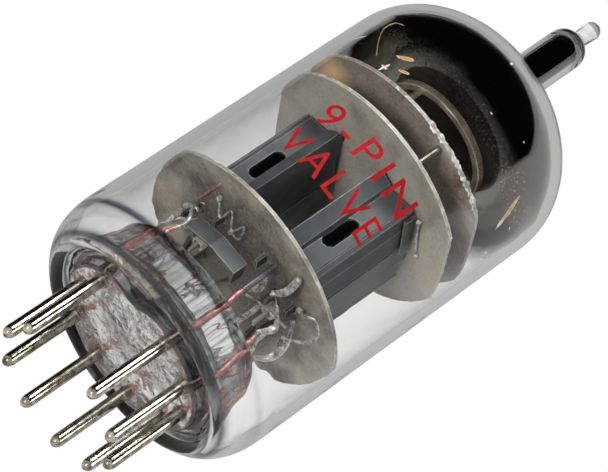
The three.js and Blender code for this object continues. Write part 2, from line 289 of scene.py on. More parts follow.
def swept(bm: bmesh.types.BMesh, route: Sequence[Vector], width: float, height: float, sides: int) -> None:
    """Sweeps an elliptical or flat section along a route with closed ends.

    Args:
        bm: The bmesh to add to, in millimetres.
        route: The centre line.
        width: The section's half width across the route and level.
        height: Its half height.
        sides: How many corners the section has.
    """
    rings = []
    for i, point in enumerate(route):
        ahead = (route[min(i + 1, len(route) - 1)] - route[max(i - 1, 0)]).normalized()
        across = ahead.cross(Vector((0, 0, 1)))
        across = across.normalized() if across.length > 0.05 else Vector((1, 0, 0))
        up = across.cross(ahead).normalized()
        turns = [FULL_TURN * (k + 0.5) / sides for k in range(sides)]
        rings.append([
            bm.verts.new(point + across * (width * math.cos(t)) + up * (height * math.sin(t)))
            for t in turns
        ])
    for lower, upper in zip(rings, rings[1:]):
        for k in range(sides):
            bm.faces.new([lower[k], lower[(k + 1) % sides], upper[(k + 1) % sides], upper[k]])
    bm.faces.new(rings[0][::-1])
    bm.faces.new(rings[-1])


def eased(points: Sequence[Place], steps: int = 6) -> list[Vector]:
    """Runs a smooth line through given points by Catmull and Rom's rule.

    Args:
        points: The points that it passes through, in millimetres.
        steps: Samples to each stretch.

    Returns:
        The samples.
    """
    line = [Vector(p) for p in points]
    padded = [2 * line[0] - line[1], *line, 2 * line[-1] - line[-2]]
    samples = []
    for i in range(1, len(padded) - 2):
        a, b, c, d = padded[i - 1 : i + 3]
        for k in range(steps):
            t = k / steps
            bend = (2 * a - 5 * b + 4 * c - d) * t * t
            samples.append(0.5 * (2 * b + (c - a) * t + bend + (3 * b - a - 3 * c + d) * t ** 3))
    return [*samples, line[-1]]


def ripple(place: Vector, scale: float, seed: float) -> float:
    """Gives smooth noise from -1 to 1 at a place in millimetres."""
    return noise.noise(place * scale + Vector((seed, seed * 1.7, -seed)))


def rippled(place: Vector, waves: Iterable[Place]) -> float:
    """Adds up ripples, each of an amplitude, a scale and a seed."""
    return sum(amplitude * ripple(place, scale, seed) for amplitude, scale, seed in waves)


# ---------------------------------------------------------------- shader helpers


class Tree:
    """A node tree with short calls for adding and joining nodes."""

    tree: bpy.types.NodeTree

    def node(self, kind: str, **values: object) -> bpy.types.Node:
        """Adds a node and sets its plain properties.

        Args:
            kind: Blender's name for the node.
            values: Its properties or inputs by name.

        Returns:
            The node.
        """
        made = self.tree.nodes.new(kind)
        for name, value in values.items():
            setattr(made, name, value)
        return made

    def join(self, source: bpy.types.NodeSocket, target: bpy.types.NodeSocket) -> None:
        """Links two sockets."""
        self.tree.links.new(source, target)


class Shader(Tree):
    """A material's node tree."""

    def __init__(self, name: str) -> None:
        """Starts an empty material with an output node.

        Args:
            name: Its name.
        """
        self.material = bpy.data.materials.new(name)
        self.material.use_nodes = True
        self.tree = self.material.node_tree
        self.tree.nodes.clear()
        self.output = self.node("ShaderNodeOutputMaterial")
        self.place = self.node("ShaderNodeTexCoord").outputs["Object"]

    def feed(self, target: bpy.types.NodeSocket, value: object) -> None:
        """Links a socket or sets a plain value on the target.

        Args:
            target: The input to set.
            value: A socket to link or a plain value to set.
        """
        if isinstance(value, bpy.types.NodeSocket):
            self.join(value, target)
        else:
            target.default_value = value

    def grouped(self, tree: bpy.types.NodeTree, **values: object) -> bpy.types.Node:
        """Places a shader node group, with its named inputs set.

        Args:
            tree: The group.
            values: Its inputs by name.

        Returns:
            The placed group.
        """
        made = self.node("ShaderNodeGroup", node_tree=tree)
        for name, value in values.items():
            self.feed(made.inputs[name.replace("_", " ")], value)
        return made

    def principled(self, **values: object) -> bpy.types.Node:
        """Adds a Principled shader, with its named inputs set.

        Args:
            values: Its inputs by name.

        Returns:
            The shader.
        """
        made = self.node("ShaderNodeBsdfPrincipled")
        for name, value in values.items():
            self.feed(made.inputs[name.replace("_", " ")], value)
        return made

    def show(self, shader: bpy.types.Node) -> bpy.types.Material:
        """Makes a shader the material's surface and returns the material."""
        self.join(shader.outputs[0], self.output.inputs["Surface"])
        return self.material

    def mix_colour(self, share: object, first: object, second: object) -> bpy.types.NodeSocket:
        """Blends two colours by a share.

        Args:
            share: How much of the second, from 0 to 1.
            first: What it starts from.
            second: What it goes to.

        Returns:
            The blend.
        """
        made = self.node("ShaderNodeMix", data_type="RGBA")
        self.feed(made.inputs["Factor"], share)
        self.feed(made.inputs[6], first)
        self.feed(made.inputs[7], second)
        return made.outputs[2]

    def map_range(
        self, value: object, low: float, high: float, to_low: float, to_high: float,
    ) -> bpy.types.NodeSocket:
        """Maps a value from one range to another, held within it.

        Args:
            value: A socket or a plain value.
            low: The value that gives to_low.
            high: The value that gives to_high.
            to_low: The result at low.
            to_high: The result at high.

        Returns:
            The mapped value.
        """
        made = self.node("ShaderNodeMapRange")
        for socket, given in zip(made.inputs, (value, low, high, to_low, to_high)):
            self.feed(socket, given)
        return made.outputs[0]

    def maths(self, operation: str, *values: object) -> bpy.types.NodeSocket:
        """Adds a Math node.

        Args:
            operation: What it does.
            values: Sockets or plain values, in order.

        Returns:
            Its result.
        """
        made = self.node("ShaderNodeMath", operation=operation)
        for socket, given in zip(made.inputs, values):
            self.feed(socket, given)
        return made.outputs[0]

    def around(self, centre: Place, inner: float, outer: float, share: float) -> bpy.types.NodeSocket:
        """Gives a share that fades between two distances, in millimetres, from a place.

        Args:
            centre: The place.
            inner: Where the fading starts.
            outer: Where it ends.
            share: The share at the middle.

        Returns:
            The share.
        """
        away = self.node("ShaderNodeVectorMath", operation="DISTANCE")
        self.join(self.place, away.inputs[0])
        away.inputs[1].default_value = Vector(centre) * MM
        return self.map_range(away.outputs["Value"], inner * MM, outer * MM, share, 0.0)

    def painted(self, name: str) -> bpy.types.NodeSocket:
        """Reads a share that is stored on the mesh."""
        return self.node("ShaderNodeAttribute", attribute_name=name).outputs["Fac"]

    def bump(self, height: object, strength: float, distance: float) -> bpy.types.NodeSocket:
        """Turns a height into a normal.

        Args:
            height: The height, as a socket.
            strength: How strongly it shows.
            distance: Its depth, in millimetres.

        Returns:
            The normal.
        """
        made = self.node("ShaderNodeBump")
        self.feed(made.inputs["Strength"], strength)
        self.feed(made.inputs["Distance"], distance * MM)
        self.feed(made.inputs["Height"], height)
        return made.outputs["Normal"]


class Group(Shader):
    """A shader node group's tree, with named sockets."""

    def __init__(self, name: str, inputs: dict[str, float], outputs: Iterable[str]) -> None:
        """Starts a group with float inputs and outputs and an Object coordinate inside.

        Args:
            name: Its name.
            inputs: Its inputs by name.
            outputs: Its outputs' names.
        """
        self.tree = bpy.data.node_groups.new(name, "ShaderNodeTree")
        for title, value in inputs.items():
            socket = self.tree.interface.new_socket(title, in_out="INPUT", socket_type="NodeSocketFloat")
            socket.default_value = value
        for title in outputs:
            self.tree.interface.new_socket(title, in_out="OUTPUT", socket_type="NodeSocketFloat")
        self.inputs = self.node("NodeGroupInput").outputs
        self.results = self.node("NodeGroupOutput").inputs
        self.place = self.node("ShaderNodeTexCoord").outputs["Object"]

    def noise_at(self, scale: object, detail: float, where: object | None = None) -> bpy.types.NodeSocket:
        """Adds fractal noise in millimetre units.

        Args:
            scale: Waves to the metre.
            detail: How many finer waves ride on it.
            where: Coordinates to use in place of the object's.

        Returns:
            The noise, from 0 to 1.
        """
        made = self.node("ShaderNodeTexNoise")
        self.feed(made.inputs["Vector"], where or self.place)
        self.feed(made.inputs["Scale"], scale)
        made.inputs["Detail"].default_value = detail
        return made.outputs["Fac"]


def mottle_group() -> bpy.types.NodeTree:
    """Builds the uneven tone that every finish here has, as broad patches and fine grain.

    Returns:
        The group.
    """
    group = Group("Mottle", {"Patch Size": 2.0, "Grain Size": 0.15}, ("Patches", "Grain"))
    patch = group.maths("DIVIDE", 1 / MM, group.inputs["Patch Size"])
    grain = group.maths("DIVIDE", 1 / MM, group.inputs["Grain Size"])
    patches = group.map_range(group.noise_at(patch, 3.0), 0.3, 0.7, 0.0, 1.0)
    grains = group.map_range(group.noise_at(grain, 2.0), 0.25, 0.75, 0.0, 1.0)
    group.join(patches, group.results["Patches"])
    group.join(grains, group.results["Grain"])
    return group.tree


def edge_wear_and_highlight_group() -> bpy.types.NodeTree:
    """Builds the mask of bright edges: rubbed and cut metal, and painted highlights along edges.

    Returns:
        The group.
    """
    group = Group("Edge Wear", {"Width": 0.08, "Roughness Of Edge": 0.5}, ("Mask",))
    rounded = group.node("ShaderNodeBevel", samples=4)
    group.join(group.maths("MULTIPLY", group.inputs["Width"], MM), rounded.inputs["Radius"])
    geometry = group.node("ShaderNodeNewGeometry")
    dot = group.node("ShaderNodeVectorMath", operation="DOT_PRODUCT")
    group.join(rounded.outputs["Normal"], dot.inputs[0])
    group.join(geometry.outputs["Normal"], dot.inputs[1])
    turned = group.map_range(dot.outputs["Value"], 0.995, 0.86, 0.0, 1.0)
    broken = group.map_range(group.noise_at(1 / (0.4 * MM), 3.0), 0.35, 0.6, 0.0, 1.0)
    kept = group.maths("MULTIPLY", broken, group.inputs["Roughness Of Edge"])
    lost = group.maths("MULTIPLY", turned, kept)
    group.join(group.maths("SUBTRACT", turned, lost), group.results["Mask"])
    return group.tree


def drawn_group() -> bpy.types.NodeTree:
    """Builds drawing lines that run along the tube axis, as on drawn wire and pins.

    Returns:
        The group.
    """
    group = Group("Drawn Lines", {"Line Width": 0.05, "Stretch": 0.04}, ("Lines",))
    mapping = group.node("ShaderNodeMapping")
    group.join(group.place, mapping.inputs["Vector"])
    scale = group.node("ShaderNodeCombineXYZ")
    fine = group.maths("DIVIDE", 1 / MM, group.inputs["Line Width"])
    group.join(fine, scale.inputs["X"])
    group.join(fine, scale.inputs["Y"])
    group.join(group.maths("MULTIPLY", fine, group.inputs["Stretch"]), scale.inputs["Z"])
    group.join(scale.outputs[0], mapping.inputs["Scale"])
    lines = group.noise_at(1.0, 2.0, mapping.outputs[0])
    group.join(group.map_range(lines, 0.3, 0.7, 0.0, 1.0), group.results["Lines"])
    return group.tree


def squiggle_group() -> bpy.types.NodeTree:
    """Builds thin, wandering lines, such as cracks and folds leave in glass and film.

    Returns:
        The group.
    """
    group = Group("Squiggles", {"Size": 1.0, "Line Share": 0.02}, ("Lines",))
    noise = group.noise_at(group.maths("DIVIDE", 1 / MM, group.inputs["Size"]), 2.0)
    off = group.maths("ABSOLUTE", group.maths("SUBTRACT", noise, 0.5))
    near = group.maths("SUBTRACT", 1.0, group.maths("DIVIDE", off, group.inputs["Line Share"]))
    group.join(group.maths("MAXIMUM", near, 0.0), group.results["Lines"])
    return group.tree


MOTTLE = mottle_group()
SQUIGGLE = squiggle_group()
EDGE_WEAR_AND_HIGHLIGHT = edge_wear_and_highlight_group()
DRAWN = drawn_group()

Colour = tuple[float, float, float, float]


def tone(red: float, green: float, blue: float) -> Colour:
    """Gives an opaque linear colour."""
    return (red, green, blue, 1.0)


# ---------------------------------------------------------------- finishes


@dataclass(frozen=True)
class GlassFinish:
    """Clear glass with drawing waves and a crinkled pressed foot, tinted with painted shade: darker to one
    side, in the crinkles, in the seal ring and bands, and in streaks.
    """

    name: str = "clear_glass"
    clear_tint: Colour = tone(0.96, 0.965, 0.96)
    side_shade_tint: Colour = tone(0.86, 0.865, 0.86)
    crinkle_shade_tint: Colour = tone(0.3, 0.3, 0.29)
    seal_shade_tint: Colour = tone(0.016, 0.020, 0.026)
    streak_shade_tint: Colour = tone(0.16, 0.18, 0.22)
    shade: Colour = tone(0.9, 0.9, 0.9)
    index: float = 1.5
    shaded_side: Place = (-0.905, -0.4255, 0.0)
    wave_depth: float = 0.02
    wave_size: float = 5.0
    press_depth: float = 0.07
    press_grain: float = 0.3
    fold_size: float = 0.9
    streak_width: float = 0.32

    def colour(self, s: Shader) -> bpy.types.NodeSocket:
        """Builds the tint: painted shade on one side, painted shade in the pressing's crinkles, and painted
        shade in the seal's lines, bands and streaks.

        Args:
            s: The material's tree.

        Returns:
            The tint.
        """
        # Painted shade: the glass is tinted darker towards one side, where the light behind it was dimmer.
        side = s.node("ShaderNodeVectorMath", operation="DOT_PRODUCT")
        s.join(s.place, side.inputs[0])
        side.inputs[1].default_value = self.shaded_side
        side_shade = s.map_range(side.outputs["Value"], -9 * MM, 11 * MM, 0.0, 1.0)
        colour = s.mix_colour(side_shade, self.clear_tint, self.side_shade_tint)
        coarse = s.grouped(MOTTLE, Patch_Size=0.8, Grain_Size=0.17)
        specks = s.map_range(coarse.outputs["Grain"], 0.35, 0.6, 0.0, 1.0)
        cracks = s.grouped(SQUIGGLE, Size=0.9, Line_Share=0.03)
        fine_cracks = s.grouped(SQUIGGLE, Size=0.33, Line_Share=0.03)
        fine = s.maths("MAXIMUM", specks, fine_cracks.outputs["Lines"])
        patchy = s.maths("MULTIPLY", coarse.outputs["Patches"], fine)
        marks = s.maths("MAXIMUM", cracks.outputs["Lines"], patchy)
        # Painted shade: dark lines and specks on the pressed glass stand in for the dark that its crinkles
        # bend into view.
        crinkle_shade = s.maths("MULTIPLY", s.painted("pressed"), marks)
        colour = s.mix_colour(crinkle_shade, colour, self.crinkle_shade_tint)
        # Painted shade: dark streaks along the axis on the raised ring's side stand in for the dark that
        # its flutes bend into view.
        lines = s.grouped(DRAWN, Line_Width=self.streak_width, Stretch=0.05)
        painted_streaks = s.map_range(lines.outputs["Lines"], 0.2, 0.8, 0.0, 1.0)
        painted_streaks = s.maths("MULTIPLY", painted_streaks, s.painted("streak"))
        colour = s.mix_colour(painted_streaks, colour, self.streak_shade_tint)
        # Painted shade: dark seal lines, bands and the darker ring side, read off the mesh.
        return s.mix_colour(s.painted("seal"), colour, self.seal_shade_tint)

    def build(self) -> bpy.types.Material:
        """Builds the material.

        Returns:
            The material.
        """
        s = Shader(self.name)
        spots = s.grouped(MOTTLE, Patch_Size=self.wave_size, Grain_Size=self.press_grain)
        folds = s.node("ShaderNodeTexNoise", noise_type="RIDGED_MULTIFRACTAL")
        s.join(s.place, folds.inputs["Vector"])
        folds.inputs["Scale"].default_value = 1 / (self.fold_size * MM)
        folds.inputs["Detail"].default_value = 2.0
        waves = s.bump(spots.outputs["Patches"], 0.35, self.wave_depth)
        dimples = s.node("ShaderNodeBump")
        s.join(waves, dimples.inputs["Normal"])
        areas = s.grouped(MOTTLE, Patch_Size=2.2, Grain_Size=0.12)
        crinkle = s.maths("ADD", folds.outputs["Fac"], s.maths("MULTIPLY", spots.outputs["Grain"], 0.5))
        crinkle = s.maths("MULTIPLY", crinkle, s.map_range(areas.outputs["Patches"], 0.0, 1.0, 0.15, 1.4))
        s.join(s.maths("MULTIPLY", crinkle, s.painted("pressed")), dimples.inputs["Height"])
        dimples.inputs["Strength"].default_value = 0.8
        dimples.inputs["Distance"].default_value = self.press_depth * MM
        body = s.principled(
            Base_Color=self.colour(s), Transmission_Weight=1.0, IOR=self.index,
            Normal=dimples.outputs["Normal"],
        )
        s.feed(body.inputs["Roughness"], s.map_range(spots.outputs["Patches"], 0.0, 1.0, 0.0, 0.02))
        clear = s.node("ShaderNodeBsdfTransparent")
        clear.inputs["Color"].default_value = self.shade
        path = s.node("ShaderNodeLightPath")
        mixed = s.node("ShaderNodeMixShader")
        s.join(path.outputs["Is Shadow Ray"], mixed.inputs[0])
        s.join(body.outputs[0], mixed.inputs[1])
        s.join(clear.outputs[0], mixed.inputs[2])
        return s.show(mixed)


@dataclass(frozen=True)
class MetalFinish:
    """Bare or heat-stained metal with drawing lines, stains and bright edges, partly rubbed and partly
    painted highlight.
    """

    name: str
    light: Colour
    dark: Colour
    edge: Colour
    metallic: float = 1.0
    smoothest: float = 0.18
    roughest: float = 0.38
    patch_size: float = 1.2
    line_depth: float = 0.0012
    bright_edge_width: float = 0.06

    def build(self) -> bpy.types.Material:
        """Builds the material.

        Returns:
            The material.
        """
        s = Shader(self.name)
        spots = s.grouped(MOTTLE, Patch_Size=self.patch_size, Grain_Size=0.08)
        lines = s.grouped(DRAWN)
        bright_edges = s.grouped(EDGE_WEAR_AND_HIGHLIGHT, Width=self.bright_edge_width)
        stained = s.mix_colour(spots.outputs["Patches"], self.light, self.dark)
        fine = s.map_range(lines.outputs["Lines"], 0.0, 1.0, 0.0, 0.35)
        stained = s.mix_colour(fine, stained, self.dark)
        # Bright edges: partly rubbed metal, partly a painted highlight.
        colour = s.mix_colour(bright_edges.outputs["Mask"], stained, self.edge)
        rough = s.map_range(spots.outputs["Grain"], 0.0, 1.0, self.smoothest, self.roughest)
        relief = s.maths("ADD", lines.outputs["Lines"], spots.outputs["Grain"])
        body = s.principled(
            Base_Color=colour, Metallic=self.metallic, Roughness=rough,
            Normal=s.bump(relief, 0.5, self.line_depth),
        )
        return s.show(body)


@dataclass(frozen=True)
class MicaFinish:
    """Smoky split mica: see-through in part, mottled, with pale flaking edges; it can be darkened round one
    place and carry a painted highlight round another.
    """

    name: str
    light: Colour
    dark: Colour
    edge: Colour
    amber: Colour = tone(0.42, 0.27, 0.12)
    darkened_at: Place = (0.5, -1.0, 10.6)
    darkened_inner: float = 5.2
    darkened_outer: float = 8.5
    darkened_share: float = 0.0
    glow: Colour = tone(0.95, 0.62, 0.3)
    highlight_at: Place = (-6.4, -6.0, 25.4)
    highlight_radius: float = 2.4
    highlight_share: float = 0.0
    solid_low: float = 0.82
    solid_high: float = 0.93
    edge_width: float = 0.07

    def build(self) -> bpy.types.Material:
        """Builds the material.

        Returns:
            The material.
        """
        s = Shader(self.name)
        spots = s.grouped(MOTTLE, Patch_Size=3.0, Grain_Size=0.25)
        bright_edges = s.grouped(EDGE_WEAR_AND_HIGHLIGHT, Width=self.edge_width, Roughness_Of_Edge=0.35)
        colour = s.mix_colour(spots.outputs["Patches"], self.light, self.dark)
        broad = s.grouped(MOTTLE, Patch_Size=9.0, Grain_Size=1.0)
        # Darker round one place, fading outwards.
        darkened = s.around(self.darkened_at, self.darkened_inner, self.darkened_outer, self.darkened_share)
        colour = s.mix_colour(darkened, colour, self.dark)
        stains = s.map_range(broad.outputs["Patches"], 0.7, 1.0, 0.0, 0.35)
        colour = s.mix_colour(stains, colour, self.amber)
        # Painted highlight: a warm patch round one place, where a lamp is seen in the mica.
        highlit = s.around(self.highlight_at, 0.0, self.highlight_radius, self.highlight_share)
        colour = s.mix_colour(highlit, colour, self.glow)
        flecks = s.map_range(spots.outputs["Grain"], 0.55, 1.0, 0.0, 0.25)
        colour = s.mix_colour(flecks, colour, self.edge)
        colour = s.mix_colour(bright_edges.outputs["Mask"], colour, self.edge)
        solid = s.map_range(spots.outputs["Patches"], 0.0, 1.0, self.solid_low, self.solid_high)
        solid = s.maths("MAXIMUM", solid, bright_edges.outputs["Mask"])
        rough = s.map_range(spots.outputs["Grain"], 0.0, 1.0, 0.22, 0.5)
        body = s.principled(
            Base_Color=colour, Roughness=rough, Alpha=solid, IOR=1.58,
            Normal=s.bump(spots.outputs["Patches"], 0.3, 0.05),
        )
        return s.show(body)


@dataclass(frozen=True)
class FlashFinish:
    """The getter's evaporated film: a dark mirror whose ragged foot thins to brown, speckled smoke."""

    name: str = "getter_flash"
    mirror: Colour = tone(0.25, 0.25, 0.22)
    thin: Colour = tone(0.20, 0.15, 0.10)
    speck: Colour = tone(0.75, 0.72, 0.62)
    fade_from: float = 27.6
    fade_to: float = 30.8
    ragged: float = 1.5

    def build(self) -> bpy.types.Material:
        """Builds the material.

        Returns:
            The material.
        """
        s = Shader(self.name)
        spots = s.grouped(MOTTLE, Patch_Size=4.0, Grain_Size=0.2)
        height = s.node("ShaderNodeSeparateXYZ")
        s.join(s.place, height.inputs[0])
        wavy = s.maths("MULTIPLY", spots.outputs["Patches"], self.ragged * MM)
        level = s.maths("SUBTRACT", height.outputs["Z"], wavy)
        dense = s.map_range(level, self.fade_from * MM, self.fade_to * MM, 0.0, 1.0)
        edge = s.maths("MULTIPLY", dense, s.maths("SUBTRACT", 1.0, dense))
        specks = s.map_range(spots.outputs["Grain"], 0.62, 0.8, 0.0, 1.0)
        specks = s.maths("MULTIPLY", specks, s.maths("MULTIPLY", edge, 3.0))
        colour = s.mix_colour(dense, self.thin, self.mirror)
        colour = s.mix_colour(specks, colour, self.speck)
        rough = s.maths("ADD", s.maths("MULTIPLY", specks, 0.3), s.map_range(dense, 0.0, 1.0, 0.2, 0.04))
        body = s.principled(
            Base_Color=colour, Metallic=1.0, Roughness=rough, Alpha=s.maths("MAXIMUM", dense, specks),
            Normal=s.bump(spots.outputs["Patches"], 0.08, 0.02),
        )
        return s.show(body)


@dataclass(frozen=True)
class CoatFinish:
    """A dull ceramic or enamel coat with a fine grain."""

    name: str
    light: Colour
    dark: Colour
    roughness: float = 0.8
    grain: float = 0.12
    depth: float = 0.03
    shine: float = 0.5

    def build(self) -> bpy.types.Material:
        """Builds the material.

        Returns:
            The material.
        """
        s = Shader(self.name)
        spots = s.grouped(MOTTLE, Patch_Size=0.8, Grain_Size=self.grain)
        colour = s.mix_colour(spots.outputs["Patches"], self.light, self.dark)
        rough = s.map_range(spots.outputs["Grain"], 0.0, 1.0, self.roughness - 0.15, self.roughness)
        body = s.principled(
            Base_Color=colour, Roughness=rough, Specular_IOR_Level=self.shine,
            Normal=s.bump(spots.outputs["Grain"], 0.5, self.depth),
        )
        return s.show(body)


@dataclass
class Finishes:
    """Every material of the tube, built once."""

    glass: bpy.types.Material = field(default_factory=GlassFinish().build)
    pin: bpy.types.Material = field(default_factory=MetalFinish(
        "pin_nickel", tone(0.86, 0.82, 0.71), tone(0.22, 0.19, 0.13), tone(0.95, 0.9, 0.8),
        smoothest=0.08, roughest=0.22, patch_size=0.45, line_depth=0.002).build)
    dumet: bpy.types.Material = field(default_factory=MetalFinish(
        "dumet_copper", tone(0.82, 0.44, 0.37), tone(0.28, 0.07, 0.065), tone(1.0, 0.85, 0.8),
        metallic=0.6, patch_size=0.35, smoothest=0.2, roughest=0.4).build)
    mica: bpy.types.Material = field(default_factory=MicaFinish(
        "mica_clear", tone(0.46, 0.43, 0.37), tone(0.30, 0.27, 0.22), tone(0.8, 0.78, 0.72)).build)
    # Painted shade: the bottom disc is darker in the middle, where the straps shade it and less light comes
    # through.
    shaded_mica: bpy.types.Material = field(default_factory=MicaFinish(
        "mica_baked", tone(0.46, 0.42, 0.34), tone(0.062, 0.05, 0.038), tone(0.7, 0.68, 0.62),
        darkened_share=0.95).build)
    mica_edge: bpy.types.Material = field(default_factory=CoatFinish(
        "mica_edge", tone(0.72, 0.72, 0.68), tone(0.12, 0.11, 0.095), roughness=0.45, grain=0.3).build)
    # The uppermost disc is darker towards one side and carries a painted highlight.
    dark_sided_highlit_mica: bpy.types.Material = field(default_factory=MicaFinish(
        "mica_smoked", tone(0.5, 0.47, 0.43), tone(0.13, 0.09, 0.065), tone(0.7, 0.7, 0.66),
        darkened_at=(-2.5, -2.5, 25.65), darkened_inner=3.5, darkened_outer=10.5, darkened_share=0.8,
        highlight_share=0.9).build)
    # Painted highlight: the pale edge tone lights the edges of the dark anode plates.
    anode: bpy.types.Material = field(default_factory=MetalFinish(
        "anode_steel", tone(0.105, 0.115, 0.118), tone(0.05, 0.056, 0.06), tone(0.62, 0.62, 0.58),
        metallic=0.35, smoothest=0.42, roughest=0.6, patch_size=2.5, bright_edge_width=0.09).build)
    oxide: bpy.types.Material = field(default_factory=CoatFinish(
        "cathode_oxide", tone(0.55, 0.54, 0.5), tone(0.4, 0.38, 0.34)).build)
    alumina: bpy.types.Material = field(default_factory=CoatFinish(
        "heater_alumina", tone(0.5, 0.49, 0.45), tone(0.25, 0.23, 0.2)).build)
    grid: bpy.types.Material = field(default_factory=MetalFinish(
        "grid_wire", tone(0.5, 0.47, 0.4), tone(0.2, 0.18, 0.14), tone(0.7, 0.68, 0.6)).build)
    # Painted highlight: the getter ring's bright edge tone.
    getter: bpy.types.Material = field(default_factory=MetalFinish(
        "getter_steel", tone(0.9, 0.78, 0.6), tone(0.36, 0.27, 0.18), tone(1.0, 0.95, 0.82),
        metallic=0.5, bright_edge_width=0.1).build)
    flash: bpy.types.Material = field(default_factory=FlashFinish().build)
    strap: bpy.types.Material = field(default_factory=MetalFinish(
        "strap_nickel", tone(0.9, 0.89, 0.84), tone(0.12, 0.11, 0.09), tone(1.0, 1.0, 0.96),
        metallic=0.65, patch_size=0.4).build)
    sleeve: bpy.types.Material = field(default_factory=MetalFinish(
        "sleeve_steel", tone(0.2, 0.22, 0.24), tone(0.09, 0.1, 0.11), tone(0.5, 0.52, 0.53),
        metallic=0.6).build)
    ink: bpy.types.Material = field(default_factory=CoatFinish(
        "print_ink", tone(0.24, 0.0045, 0.006), tone(0.13, 0.003, 0.004), roughness=0.6, grain=0.2,
        depth=0.01, shine=0.04).build)
    # Finishes of the painted glints and reflections on the film.
    gold_fleck: bpy.types.Material = field(default_factory=MetalFinish(
        "fleck_gold", tone(0.75, 0.38, 0.13), tone(0.4, 0.2, 0.08), tone(0.95, 0.75, 0.45),
        metallic=0.3, patch_size=0.5).build)
    pale_fleck: bpy.types.Material = field(default_factory=CoatFinish(
        "fleck_pale", tone(0.85, 0.82, 0.74), tone(0.5, 0.45, 0.34), roughness=0.5).build)


# ---------------------------------------------------------------- glass envelope


def pin_place(number: int) -> Vector:
    """Gives the level place of a pin's axis, in millimetres."""
    centre = middle(f"base_pin_{number}")
    return Vector((centre.x, centre.y, 0.0))


